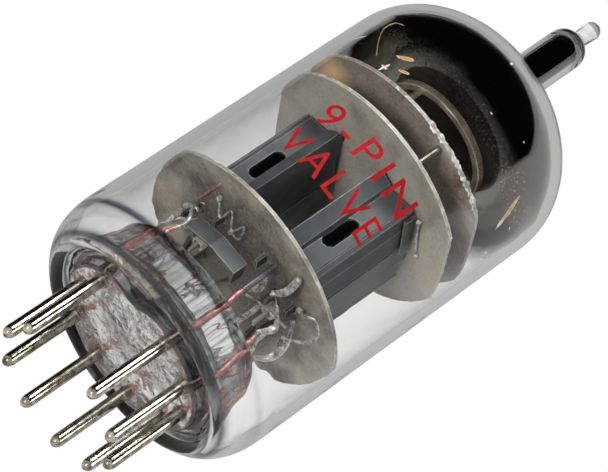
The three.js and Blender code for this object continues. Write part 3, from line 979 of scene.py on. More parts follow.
@dataclass
class GlassEnvelope:
    """The fused glass: button, rounded base, wall, dome, nipple and sealed tail."""

    wall: float = 0.8
    base_from: float = 4.0
    straight_to: float = 32.0
    rim_radius: float = 8.6
    groove_radius: float = 7.65
    groove_height: float = 1.2
    seat_radius: float = 6.85
    floor_height: float = 3.0
    floor_radius: float = 4.3
    crest_height: float = 5.15
    crest_radius: float = 7.15
    side_radius: float = 7.7
    trough_radius: float = 8.6
    trough_height: float = 1.1
    corner_height: float = 4.4
    boss_rise: float = 0.6
    boss_half_width: float = 0.7
    flute_depth: float = 0.1
    flutes: float = 12.0
    bore: float = 1.32
    bore_cover: float = 0.4
    meniscus: float = 0.3
    wide_seal_at: float = 335.0
    upper_band: float = 2.9
    lower_band: float = 9.6
    banded_at: float = 232.0
    notch_at: float = 270.0
    notch_half_width: float = 17.0
    notch_depth: float = 1.35
    notch_from: float = 3.8
    notch_fade: float = 0.6
    meniscus_radius: float = 0.85
    lump_fade: float = 0.5
    lump_waves: tuple[Place, ...] = ((0.06, 0.9, 3.0), (0.05, 1.9, 8.0), (0.028, 3.6, 5.0))
    rim_wave: Place = (0.06, 0.35, 5.0)
    fold_waves: tuple[Place, ...] = ((0.16, 1.3, 4.0), (0.06, 3.0, 7.0))
    flute_fade: float = 2.5
    cap_share: float = 0.55
    cap_length: float = 1.5
    bead_share: float = 0.8
    bead_length: float = 0.4
    tail_press: float = 0.35
    band_half_width: float = 0.34
    lower_band_top: float = 1.5
    fold_press: float = 0.8
    shadow_at: float = 276.0
    shadow_half_width: float = 14.0
    shadow_share: float = 0.75
    least_shadow: float = 0.18
    ring_share: float = 0.85
    segments: int = 300
    nodes: tuple[str, ...] = ("glass_bulb", "button_stem", "exhaust_nipple", "exhaust_tail")

    def __post_init__(self) -> None:
        """Reads the outer sizes off the frame."""
        low, high = span("glass_bulb")
        self.radius = (high.x - low.x) / 2
        self.dome_top = high.z
        nipple_low, nipple_high = span("exhaust_nipple")
        self.nipple_radius = (nipple_high.x - nipple_low.x) / 2
        self.nipple_top = nipple_high.z
        tail_low, tail_high = span("exhaust_tail")
        self.bead_radius = (tail_high.x - tail_low.x) / 2
        self.tail_top = tail_high.z
        self.pins = [pin_place(n) for n in range(1, PIN_COUNT + 1)]
        self.pin_circle = self.pins[0].length

    def dome_rise(self) -> float:
        """Height of the dome above the straight wall."""
        return self.dome_top - self.straight_to

    def outer_profile(self) -> list[Point]:
        """Gives the outside, from the button's centre to the tip of the tail.

        Returns:
            The outline.
        """
        neck = 0.72
        bead = self.bead_radius - 0.14
        neck_turn = math.acos(min((self.nipple_radius + 0.25) / self.radius, 1.0))
        shoulder = self.nipple_top - 1.4
        bead_z = self.tail_top - 0.05 - bead
        return [
            *ramp((0.0, 0.0), (self.seat_radius, 0.0), 46),
            *arc((self.seat_radius, 0.3), (0.3, 0.3), -QUARTER_TURN, 0.0, 6),
            *ramp((self.seat_radius + 0.31, 0.4), (self.seat_radius + 0.36, self.groove_height - 0.2), 4),
            (self.seat_radius + 0.42, self.groove_height - 0.06),
            (self.groove_radius - 0.18, self.groove_height),
            (self.groove_radius - 0.02, self.groove_height - 0.06),
            *ramp((self.groove_radius + 0.08, self.groove_height - 0.14), (self.rim_radius - 0.34, 0.5), 6),
            *arc((self.rim_radius + 0.4, 0.95), (0.85, 0.88), -math.pi + 0.62, -QUARTER_TURN - 0.05, 10),
            *arc(
                (self.rim_radius, self.base_from), (self.radius - self.rim_radius, self.base_from),
                -QUARTER_TURN + 0.2, 0.0, 30,
            ),
            *ramp((self.radius, self.base_from + 1), (self.radius, self.straight_to - 0.5), 5),
            *arc((0.0, self.straight_to), (self.radius, self.dome_rise()), 0.0, neck_turn, 24),
            (self.nipple_radius + 0.1, self.dome_top + 0.05),
            (self.nipple_radius, self.dome_top + 0.35),
            *ramp((self.nipple_radius, self.dome_top + 0.8), (self.nipple_radius, shoulder), 5),
            *arc((neck, shoulder), (self.nipple_radius - neck, 1.4), 0.0, QUARTER_TURN * 0.94, 12),
            (neck - 0.03, self.nipple_top + 0.1),
            *ramp((neck - 0.04, self.nipple_top + 0.3), (bead, bead_z - 0.2), 8),
            *arc((0.0, bead_z), (bead, bead), -0.1, QUARTER_TURN, 14),
        ]

    def stem_profile(self) -> list[Point]:
        """Gives the inside of the button: floor, raised ring, its steep side and the trough.

        Returns:
            The outline.
        """
        low = self.trough_height + 0.4
        return [
            *ramp((0.0, self.floor_height), (self.floor_radius, self.floor_height), 16),
            *arc(
                (self.floor_radius + 0.9, self.floor_height), (0.9, self.crest_height - self.floor_height),
                math.pi, QUARTER_TURN, 8,
            ),
            *ramp((self.floor_radius + 1.1, self.crest_height), (self.crest_radius, self.crest_height), 8),
            *arc(
                (self.crest_radius, self.crest_height - 0.4), (self.side_radius - self.crest_radius, 0.4),
                QUARTER_TURN, 0.0, 8,
            ),
            *ramp((self.side_radius, self.crest_height - 0.5), (self.side_radius, low), 12),
            *arc((self.side_radius + 0.4, low), (0.4, 0.4), math.pi, 1.5 * math.pi, 6),
        ]

    def inner_profile(self) -> list[Point]:
        """Gives the cavity, from the button's inner face up into the nipple's bore.

        Returns:
            The outline.
        """
        inside = self.radius - self.wall
        rise = self.dome_rise() - self.wall
        bore_turn = math.acos((self.bore + 0.4) / inside)
        bore_top = self.nipple_top - self.bore_cover
        deep = self.corner_height - self.trough_height
        return [
            *self.stem_profile(),
            *arc(
                (self.trough_radius, self.corner_height), (inside - self.trough_radius, deep),
                -QUARTER_TURN + 0.06, 0.0, 16,
            ),
            *ramp((inside, self.corner_height + 0.5), (inside, self.straight_to - 0.5), 6),
            *arc((0.0, self.straight_to), (inside, rise), 0.0, bore_turn, 24),
            (self.bore + 0.18, self.dome_top - self.wall + 0.15),
            (self.bore, self.dome_top - self.wall + 0.6),
            *ramp((self.bore, self.dome_top + 0.5), (self.bore, bore_top - self.bore), 5),
            *arc((0.0, bore_top - self.bore), (self.bore, self.bore), 0.0, QUARTER_TURN, 8),
        ]

    def nearest_pin(self, x: float, y: float) -> float:
        """Distance to the nearest pin's axis."""
        return min(math.hypot(x - p.x, y - p.y) for p in self.pins)

    def notch(self, r: float, turn: float) -> float:
        """Gives how far the seat's edge is pinched in at the gap between the pins.

        Args:
            r: The point's radius, in millimetres.
            turn: Its angle, in radians.

        Returns:
            The pinch, in millimetres.
        """
        off = (math.degrees(turn) % 360 - self.notch_at) / self.notch_half_width
        inside = held((r - self.notch_from) / (self.seat_radius - self.notch_from))
        outside = held(self.rim_radius + self.notch_fade - r)
        return self.notch_depth * bell(off) * inside * inside * outside

    def outside_point(self, r: float, z: float, turn: float) -> Vector:
        """Places an outside point, with pressed lumps and a meniscus round each pin.

        Args:
            r: The point's radius, in millimetres.
            z: Its height.
            turn: Its angle, in radians.

        Returns:
            The point.
        """
        pinch = self.notch(r, turn) if z < self.groove_height + 0.1 else 0.0
        point = polar(r - pinch, turn, z)
        if r < self.groove_radius and z < self.groove_height - 0.3:
            close = self.nearest_pin(point.x, point.y)
            point.z -= self.meniscus * bell(close / self.meniscus_radius)
            point.z += held((self.seat_radius - r) / self.lump_fade) * rippled(point, self.lump_waves)
        elif z > self.nipple_top + 0.3:
            point *= 1 + 0.0006 * ripple(point, 2.0, 5.0)
        elif z < self.base_from:
            point.z += rippled(point, (self.rim_wave,))
            point.z += min(pinch, 1.0) * rippled(point, self.fold_waves)
        return point

    def inside_point(self, r: float, z: float, turn: float) -> Vector:
        """Places a cavity point, with a fluted ring side and a boss round each lead.

        Args:
            r: The point's radius, in millimetres.
            z: Its height.
            turn: Its angle, in radians.

        Returns:
            The point.
        """
        point = polar(r, turn, z)
        if z < self.corner_height and r < self.trough_radius:
            close = self.nearest_pin(point.x, point.y)
            around = polar(1.0, turn, z * 0.06)
            swell = 0.6 + 0.8 * ripple(around, 1.3, 3.0)
            flute = ripple(around, self.flutes, 1.0) + 0.6 * ripple(around, self.flutes * 2.4, 6.0)
            share = held((r - self.floor_radius) / self.flute_fade)
            point.x += share * self.flute_depth * swell * flute * math.cos(turn)
            point.y += share * self.flute_depth * swell * flute * math.sin(turn)
            point.z += self.boss_rise * math.exp(-((close / self.boss_half_width) ** 4))
            point.z += 0.12 * ripple(point, 0.8, 11.0)
        elif z < self.corner_height:
            point *= 1 + 0.008 * ripple(point, 0.5, 2.0)
        return point

    def outside_paint(self, r: float, z: float, turn: float) -> tuple[float, float, float]:
        """Gives the pressed, painted shade and painted streak shade shares of an outside point.

        Args:
            r: The point's radius, in millimetres.
            z: Its height.
            turn: Its angle, in radians.

        Returns:
            The three shares.
        """
        # Painted shade: the tail's bead and the nipple's cap are tinted dark.
        if z > self.nipple_top + 0.3:
            return self.tail_press, self.bead_share if z > self.tail_top - self.bead_length else 0.0, 0.0
        if z > self.nipple_top - self.cap_length:
            return 0.0, self.cap_share, 0.0
        around = polar(1.0, turn, 0.0)
        pinch = self.notch(r, turn)
        fold = min(pinch, 1.0) if r > self.groove_radius and z < self.groove_height else 0.0
        pressed = 1.0 if r < self.seat_radius + 0.1 and z < 0.1 else 0.0
        seal = 0.0
        # Painted shade: the seal ring by the groove is tinted dark, wider round one angle, where the glass
        # bends the dark room into view.
        if self.seat_radius + 0.05 < r and z <= self.groove_height:
            near = held(math.cos(turn - math.radians(self.wide_seal_at)) * 1.6)
            reach = self.groove_radius + near * (self.rim_radius + 0.15 - self.groove_radius)
            seal = (0.9 + 0.2 * ripple(around, 3.0, 6.0)) * held((reach + 0.35 - r) / 0.35)
        # Painted shade: dark bands up the rounded base and round its underside, stronger to one side.
        left = max(math.cos(turn - math.radians(self.banded_at)), 0.0)
        upper = bell((z - self.upper_band) / self.band_half_width) if r > self.rim_radius else 0.0
        lower = bell((r - self.lower_band) / self.band_half_width) if z < self.lower_band_top else 0.0
        band = max(upper * (0.3 + 0.8 * left), lower * (0.75 + 0.3 * left))
        band *= 1.2 + 0.4 * ripple(around, 2.0, 12.0)
        return max(pressed, self.fold_press * fold), held(max(seal * (1 - 0.7 * fold), band)), 0.0

    def inside_paint(self, r: float, z: float, turn: float) -> tuple[float, float, float]:
        """Gives the pressed, painted shade and painted streak shade shares of a cavity point.

        Args:
            r: The point's radius, in millimetres.
            z: Its height.
            turn: Its angle, in radians.

        Returns:
            The three shares.
        """
        around = polar(1.0, turn, 0.0)
        # Painted shade: the raised ring's side is tinted darker, most round one angle.
        ring = 1.0 if self.crest_radius - 0.2 < r < self.trough_radius and z <= self.crest_height else 0.0
        off = (math.degrees(turn) % 360 - self.shadow_at) / self.shadow_half_width
        shadow = self.shadow_share * bell(off) + self.least_shadow + 0.3 * ripple(around, 3.0, 9.0)
        return 0.0, held(max(shadow, 0.0) * ring * self.ring_share), ring

    def paint(self, mesh: bpy.types.Mesh) -> None:
        """Stores every point's shares on the mesh, in the order in which the points were made.

        Args:
            mesh: The envelope's mesh.
        """
        rows = []
        for profile, shares in (
            (self.outer_profile(), self.outside_paint), (self.inner_profile(), self.inside_paint),
        ):
            for r, z in profile:
                count = 1 if r < ON_AXIS else self.segments
                rows.extend(shares(r, z, FULL_TURN * i / self.segments) for i in range(count))
        for column, name in enumerate(("pressed", "seal", "streak")):
            layer = mesh.attributes.new(name, "FLOAT", "POINT")
            layer.data.foreach_set("value", [row[column] for row in rows])

    def build(self, finishes: Finishes) -> bpy.types.Object:
        """Builds the envelope as one body of glass with a sealed hollow.

        Args:
            finishes: The tube's materials.

        Returns:
            The envelope.
        """
        bm = bmesh.new()
        add_turned(bm, self.outer_profile(), self.segments, shape=self.outside_point)
        add_turned(bm, self.inner_profile(), self.segments, inward=True, shape=self.inside_point)
        mesh = mesh_from(bm, "glass_envelope", 60.0)
        self.paint(mesh)
        return finished("glass_envelope", mesh, finishes.glass, self.nodes)


# ---------------------------------------------------------------- geometry node trees


class GeometryTree(Tree):
    """A Geometry Nodes tree with named inputs."""

    def __init__(self, name: str, inputs: dict[str, tuple[str, object]]) -> None:
        """Starts a tree with a geometry output and the given inputs.

        Args:
            name: Its name.
            inputs: Its inputs by name.
        """
        self.tree = bpy.data.node_groups.new(name, "GeometryNodeTree")
        self.tree.interface.new_socket("Geometry", in_out="INPUT", socket_type="NodeSocketGeometry")
        self.tree.interface.new_socket("Geometry", in_out="OUTPUT", socket_type="NodeSocketGeometry")
        for title, (kind, value) in inputs.items():
            socket = self.tree.interface.new_socket(title, in_out="INPUT", socket_type=kind)
            if value is not None:
                socket.default_value = value
        self.inputs = self.node("NodeGroupInput").outputs
        self.result = self.node("NodeGroupOutput").inputs[0]

    def close(self, geometry: bpy.types.NodeSocket) -> bpy.types.NodeTree:
        """Ends the tree with Realize Instances and Set Material.

        Args:
            geometry: What the tree has made.

        Returns:
            The finished tree.
        """
        real = self.node("GeometryNodeRealizeInstances")
        dress = self.node("GeometryNodeSetMaterial")
        self.join(geometry, real.inputs[0])
        self.join(real.outputs[0], dress.inputs["Geometry"])
        self.join(self.inputs["Material"], dress.inputs["Material"])
        self.join(dress.outputs[0], self.result)
        return self.tree


def grown(
    name: str, tree: bpy.types.NodeTree, values: dict[str, object], sharp: float = 40.0,
) -> bpy.types.Mesh:
    """Runs a Geometry Nodes tree and keeps its result as a plain mesh.

    Args:
        name: The mesh's name.
        tree: The tree.
        values: Its inputs by name.
        sharp: Edges that turn more than this many degrees stay sharp.

    Returns:
        The evaluated mesh.
    """
    host = bpy.data.objects.new(name + "_host", bpy.data.meshes.new(name + "_host"))
    bpy.context.scene.collection.objects.link(host)
    modifier = host.modifiers.new("tree", "NODES")
    modifier.node_group = tree
    for item in tree.interface.items_tree:
        if item.item_type == "SOCKET" and item.in_out == "INPUT" and item.name in values:
            modifier[item.identifier] = values[item.name]
    evaluated = host.evaluated_get(bpy.context.evaluated_depsgraph_get())
    mesh = bpy.data.meshes.new_from_object(evaluated)
    mesh.name = name
    bpy.data.objects.remove(host)
    mesh.shade_smooth()
    mesh.set_sharp_from_angle(angle=math.radians(sharp))
    return mesh


def pin_ring_tree() -> bpy.types.NodeTree:
    """Builds the tree that stands a blank on every place of the pin circle but the gap.

    Returns:
        The tree.
    """
    t = GeometryTree("Pin Ring", {
        "Blank": ("NodeSocketObject", None),
        "Places": ("NodeSocketInt", PIN_PLACES),
        "Circle Radius": ("NodeSocketFloat", 0.006),
        "First Turn": ("NodeSocketFloat", 0.0),
        "Material": ("NodeSocketMaterial", None),
    })
    circle = t.node("GeometryNodeMeshCircle")
    t.join(t.inputs["Places"], circle.inputs["Vertices"])
    t.join(t.inputs["Circle Radius"], circle.inputs["Radius"])
    turn = t.node("GeometryNodeTransform")
    angle = t.node("ShaderNodeCombineXYZ")
    t.join(t.inputs["First Turn"], angle.inputs["Z"])
    t.join(circle.outputs[0], turn.inputs["Geometry"])
    t.join(angle.outputs[0], turn.inputs["Rotation"])
    index = t.node("GeometryNodeInputIndex")
    kept = t.node("FunctionNodeCompare", data_type="INT", operation="LESS_THAN")
    t.join(index.outputs[0], kept.inputs[2])
    kept.inputs[3].default_value = PIN_COUNT
    blank = t.node("GeometryNodeObjectInfo")
    t.join(t.inputs["Blank"], blank.inputs["Object"])
    blank.inputs["As Instance"].default_value = True
    stand = t.node("GeometryNodeInstanceOnPoints")
    t.join(turn.outputs[0], stand.inputs["Points"])
    t.join(kept.outputs[0], stand.inputs["Selection"])
    t.join(blank.outputs["Geometry"], stand.inputs["Instance"])
    spin = t.node("FunctionNodeRandomValue", data_type="FLOAT")
    spin.inputs[3].default_value = FULL_TURN
    spin.inputs["Seed"].default_value = 7
    around = t.node("ShaderNodeCombineXYZ")
    t.join(spin.outputs[1], around.inputs["Z"])
    t.join(around.outputs[0], stand.inputs["Rotation"])
    return t.close(stand.outputs[0])


def winding_tree() -> bpy.types.NodeTree:
    """Builds the tree of one grid's fine oval winding.

    Returns:
        The tree.
    """
    t = GeometryTree("Grid Winding", {
        "Turns": ("NodeSocketFloat", 40.0),
        "Length": ("NodeSocketFloat", 0.011),
        "Half Depth": ("NodeSocketFloat", 0.002),
        "Flatness": ("NodeSocketFloat", 0.5),
        "Wire Radius": ("NodeSocketFloat", 0.00004),
        "Centre": ("NodeSocketVector", (0.0, 0.0, 0.0)),
        "Material": ("NodeSocketMaterial", None),
    })
    spiral = t.node("GeometryNodeCurveSpiral")
    spiral.inputs["Resolution"].default_value = 20
    for title, socket in (
        ("Turns", "Rotations"), ("Length", "Height"),
        ("Half Depth", "Start Radius"), ("Half Depth", "End Radius"),
    ):
        t.join(t.inputs[title], spiral.inputs[socket])
    squeeze = t.node("ShaderNodeCombineXYZ")
    t.join(t.inputs["Flatness"], squeeze.inputs["X"])
    squeeze.inputs["Y"].default_value = 1.0
    squeeze.inputs["Z"].default_value = 1.0
    shape = t.node("GeometryNodeTransform")
    t.join(spiral.outputs[0], shape.inputs["Geometry"])
    t.join(squeeze.outputs[0], shape.inputs["Scale"])
    t.join(t.inputs["Centre"], shape.inputs["Translation"])
    section = t.node("GeometryNodeCurvePrimitiveCircle")
    section.inputs["Resolution"].default_value = 5
    t.join(t.inputs["Wire Radius"], section.inputs["Radius"])
    wire = t.node("GeometryNodeCurveToMesh")
    t.join(shape.outputs[0], wire.inputs["Curve"])
    t.join(section.outputs[0], wire.inputs["Profile Curve"])
    wire.inputs["Fill Caps"].default_value = True
    return t.close(wire.outputs[0])


# ---------------------------------------------------------------- pins and leads


@dataclass
class PinBase:
    """The nine pins and the copper-clad seal wires that carry on from them."""

    segments: int = 32
    tip_length: float = 0.72
    tip_radius: float = 0.49
    seal_swell: float = 0.05

    def __post_init__(self) -> None:
        """Reads the pin's sizes off the frame."""
        low, high = span("base_pin_5")
        self.radius = (high.y - low.y) / 2
        self.tip = low.z
        self.sink = high.z
        lead_low, lead_high = span("lead_in_5")
        self.lead_foot = lead_low.z
        self.lead_top = lead_high.z
        self.lead_radius = (lead_high.y - lead_low.y) / 2
        first = pin_place(1)
        self.circle = first.length
        self.first_turn = math.atan2(first.y, first.x)
        self.tree = pin_ring_tree()

    def blank(self, name: str, profile: list[Point], wobble: float) -> bpy.types.Object:
        """Turns one blank on the axis for the ring tree to copy.

        Args:
            name: Its name.
            profile: Its outline, as radius and height points.
            wobble: How uneven it is, as a share of its width.

        Returns:
            The blank.
        """
        def shape(r: float, z: float, turn: float) -> Vector:
            """Gives a point of the slightly uneven blank.

            Args:
                r: The point's radius, in millimetres.
                z: Its height.
                turn: Its angle, in radians.

            Returns:
                The point.
            """
            point = polar(r, turn, z)
            grow = 1 + wobble * ripple(Vector((point.x, point.y, z * 0.6)), 1.6, 4.0)
            return Vector((point.x * grow, point.y * grow, z))

        bm = bmesh.new()
        add_turned(bm, profile, self.segments, shape=shape)
        made = bpy.data.objects.new(name, mesh_from(bm, name))
        bpy.context.scene.collection.objects.link(made)
        return made

    def ring(
        self, name: str, profile: list[Point], wobble: float, material: bpy.types.Material,
    ) -> bpy.types.Mesh:
        """Copies a blank round the pin circle.

        Args:
            name: Its name.
            profile: Its outline, as radius and height points.
            wobble: How uneven it is, as a share of its width.
            material: Its material.

        Returns:
            The ring's mesh.
        """
        blank = self.blank(name + "_blank", profile, wobble)
        mesh = grown(name, self.tree, {
            "Blank": blank, "Places": PIN_PLACES, "Circle Radius": self.circle * MM,
            "First Turn": self.first_turn, "Material": material,
        })
        bpy.data.objects.remove(blank)
        return mesh

    def pin_profile(self) -> list[Point]:
        """Gives one pin, from its rounded tip to its end in the glass.

        Returns:
            The outline.
        """
        taper = self.tip + self.tip_length
        blunt = self.radius - self.tip_radius
        return [
            (0.0, self.tip),
            *arc((blunt, taper), (self.tip_radius, self.tip_length), -QUARTER_TURN, -0.05, 9),
            *ramp((self.radius, taper + 0.1), (self.radius, self.sink - 0.1), 14),
            (self.radius - 0.05, self.sink),
            (0.0, self.sink),
        ]

    def lead_profile(self) -> list[Point]:
        """Gives one seal wire, stout in the glass and slim above it.

        Returns:
            The outline.
        """
        r = self.lead_radius * 0.88
        knee = self.lead_top - 1.9
        return [
            (0.0, self.lead_foot), (r * 0.8, self.lead_foot), (r + self.seal_swell, self.lead_foot + 0.2),
            *ramp((r, self.lead_foot + 0.5), (r, knee - 0.2), 10),
            (r * 0.72, knee), *ramp((r * 0.7, knee + 0.1), (r * 0.66, self.lead_top - 0.05), 5),
            (r * 0.5, self.lead_top), (0.0, self.lead_top),
        ]

    def build(self, finishes: Finishes) -> list[bpy.types.Object]:
        """Builds the pins and the seal wires.

        Args:
            finishes: The tube's materials.

        Returns:
            The two pieces.
        """
        numbers = range(1, PIN_COUNT + 1)
        pins = self.ring("base_pins", self.pin_profile(), 0.015, finishes.pin)
        leads = self.ring("seal_wires", self.lead_profile(), 0.2, finishes.dumet)
        return [
            finished("base_pins", pins, finishes.pin, [f"base_pin_{n}" for n in numbers]),
            finished("seal_wires", leads, finishes.dumet, [f"lead_in_{n}" for n in numbers]),
        ]


# ---------------------------------------------------------------- electrode cage


@dataclass
class Cage:
    """Mica discs, anodes, cathodes, heaters and grids."""

    rod_radius: float = 0.3
    rod_sides: int = 20
    wire_radius: float = 0.035
    winding_turns: float = 46.0

    def dress_frame(self, finishes: Finishes) -> None:
        """Gives the CAD nodes whose shape is right their finishes.

        Args:
            finishes: The tube's materials.
        """
        looks = {
            "bottom_mica": finishes.shaded_mica,
            "top_mica": finishes.mica,
            "upper_mica": finishes.dark_sided_highlit_mica,
        }
        for number in (1, 2):
            looks[f"anode_{number}_front"] = finishes.anode
            looks[f"anode_{number}_back"] = finishes.anode
            looks[f"cathode_{number}"] = finishes.oxide
            looks[f"heater_{number}"] = finishes.alumina
            looks[f"mica_spacer_{number}"] = finishes.grid
        for node, material in looks.items():
            dress(node, material)

    def grid(self, number: int, tree: bpy.types.NodeTree, finishes: Finishes) -> bpy.types.Object:
        """Builds one grid: two side rods and the fine winding round them.

        Args:
            number: Which triode it belongs to.
            tree: The winding's tree.
            finishes: The tube's materials.

        Returns:
            The grid.
        """
        low, high = span(f"grid_{number}")
        centre = (low + high) / 2
        bm = bmesh.new()
        rod_y = (high.y - low.y) / 2 - self.rod_radius
        for end in (-1, 1):
            foot = Vector((centre.x, centre.y + end * rod_y, low.z))
            route = [foot + Vector((0, 0, (high.z - low.z) * i / 12)) for i in range(13)]
            swept(bm, route, self.rod_radius, self.rod_radius, self.rod_sides)
        rods = mesh_from(bm, f"grid_rods_{number}")
        foot = span("bottom_mica")[1].z + 0.3
        length = span("top_mica")[0].z - 0.6 - foot
        winding = grown(f"grid_winding_{number}", tree, {
            "Turns": self.winding_turns, "Length": length * MM, "Half Depth": (rod_y + 0.05) * MM,
            "Flatness": 0.52, "Wire Radius": self.wire_radius * MM,
            "Centre": (centre.x * MM, centre.y * MM, foot * MM), "Material": finishes.grid,
        })
        both = bmesh.new()
        both.from_mesh(rods)
        both.from_mesh(winding)
        mesh = bpy.data.meshes.new(f"grid_{number}_wound")
        both.to_mesh(mesh)
        both.free()
        mesh.shade_smooth()
        return finished(f"grid_{number}_wound", mesh, finishes.grid, [f"grid_{number}"])

    def build(self, finishes: Finishes) -> None:
        """Dresses the frame's nodes and builds the grids.

        Args:
            finishes: The tube's materials.
        """
        self.dress_frame(finishes)
        tree = winding_tree()
        for number in (1, 2):
            self.grid(number, tree, finishes)


# ---------------------------------------------------------------- getter


@dataclass
class GetterAssembly:
    """The getter ring on its post, and the mirror that it threw on the dome."""

    film_gap: float = 0.03
    film_foot: float = 26.4
    segments: int = 160
    lip: float = 0.1
    trough: float = 0.38

    def ring(self, finishes: Finishes) -> bpy.types.Object:
        """Builds the channel ring.

        Args:
            finishes: The tube's materials.

        Returns:
            The channel ring.
        """
        low, high = span("getter_ring")
        outer = (high.x - low.x) / 2
        inner = outer - 0.64
        top = high.z
        soft = 0.06
        profile = [
            (inner + soft, low.z), (outer - soft, low.z), (outer, low.z + soft), (outer, top - soft),
            (outer - soft / 2, top), (outer - self.lip + soft / 2, top), (outer - self.lip, top - soft),
            (outer - self.lip, top - self.trough), (inner + self.lip, top - self.trough),
            (inner + self.lip, top - soft), (inner + self.lip - soft / 2, top), (inner + soft / 2, top),
            (inner, top - soft), (inner, low.z + soft),
        ]
        bm = bmesh.new()
        add_turned(bm, profile, self.segments, ring=True)
        mesh = mesh_from(bm, "getter_channel")
        return finished("getter_channel", mesh, finishes.getter, ["getter_ring"])

    def film(self, envelope: GlassEnvelope, finishes: Finishes) -> bpy.types.Object:
        """Builds the mirror film just inside the glass.

        Args:
            envelope: The glass that holds it.
            finishes: The tube's materials.

        Returns:
            The film.
        """
        radius = envelope.radius - envelope.wall - self.film_gap
        rise = envelope.dome_rise() - envelope.wall - self.film_gap
        bore = envelope.bore - self.film_gap
        bore_turn = math.acos((bore + 0.4) / radius)
        bore_top = envelope.nipple_top - envelope.bore_cover
        base = [
            *ramp((radius, self.film_foot), (radius, envelope.straight_to), 12),
            *arc((0.0, envelope.straight_to), (radius, rise), 0.0, bore_turn, 30),
            (bore + 0.15, envelope.dome_top - envelope.wall + 0.15),
            (bore, envelope.dome_top - envelope.wall + 0.6),
            *ramp((bore, envelope.dome_top + 0.5), (bore, bore_top - bore), 5),
            *arc((0.0, bore_top - bore), (bore, bore), 0.0, QUARTER_TURN, 8),
        ]
        bm = bmesh.new()
        add_turned(bm, base, self.segments)
        mesh = mesh_from(bm, "getter_film", 60.0)
        return finished("getter_film", mesh, finishes.flash, ["getter_mirror"])

    def build(self, envelope: GlassEnvelope, finishes: Finishes) -> None:
        """Builds the ring and the film, and dresses the post.

        Args:
            envelope: The glass that holds it.
            finishes: The tube's materials.
        """
        self.ring(finishes)
        self.film(envelope, finishes)
        # Painted glints and reflections: pale and gold blots on the film.
        GlintBlots(self.film_gap).build(envelope, finishes)
        dress("getter_post", finishes.getter)


class GlintBlot(Enum):
    """Painted glints and reflections, as blots in the film: each is its look, angle, height, half length,
    half width and tilt in degrees.
    """

    LONG_GOLD = ("gold_fleck", 342.2, 29.05, 1.2, 0.2, -63.0)
    LONG_GOLD_END = ("pale_fleck", 345.4, 27.95, 0.42, 0.2, -63.0)
    FIRST_GLINT = ("pale_fleck", 357.0, 26.5, 0.32, 0.1, 30.0)
    SECOND_GLINT = ("pale_fleck", 0.2, 26.2, 0.5, 0.08, 40.0)
    THIRD_GLINT = ("pale_fleck", 352.0, 29.0, 0.16, 0.07, 0.0)
    SMEAR = ("pale_fleck", 229.4, 28.4, 0.6, 0.16, 35.0)
    STAR_UP = ("pale_fleck", 256.6, 26.5, 0.55, 0.1, 80.0)
    STAR_ACROSS = ("pale_fleck", 256.6, 26.5, 0.3, 0.1, -10.0)
    GLOW = ("gold_fleck", 258.7, 28.3, 0.62, 0.2, 25.0)
    GLOW_HEART = ("pale_fleck", 258.2, 28.25, 0.25, 0.08, 25.0)
    OVAL = ("gold_fleck", 264.0, 27.2, 0.45, 0.14, 20.0)
    HIGH_SPECK = ("pale_fleck", 287.0, 34.9, 0.14, 0.08, 60.0)
    LOW_SPECK = ("pale_fleck", 300.0, 30.6, 0.1, 0.06, 0.0)
    SIDE_SPECK = ("pale_fleck", 318.0, 32.0, 0.08, 0.05, 0.0)
    FAR_SPECK = ("pale_fleck", 240.0, 33.0, 0.09, 0.05, 40.0)


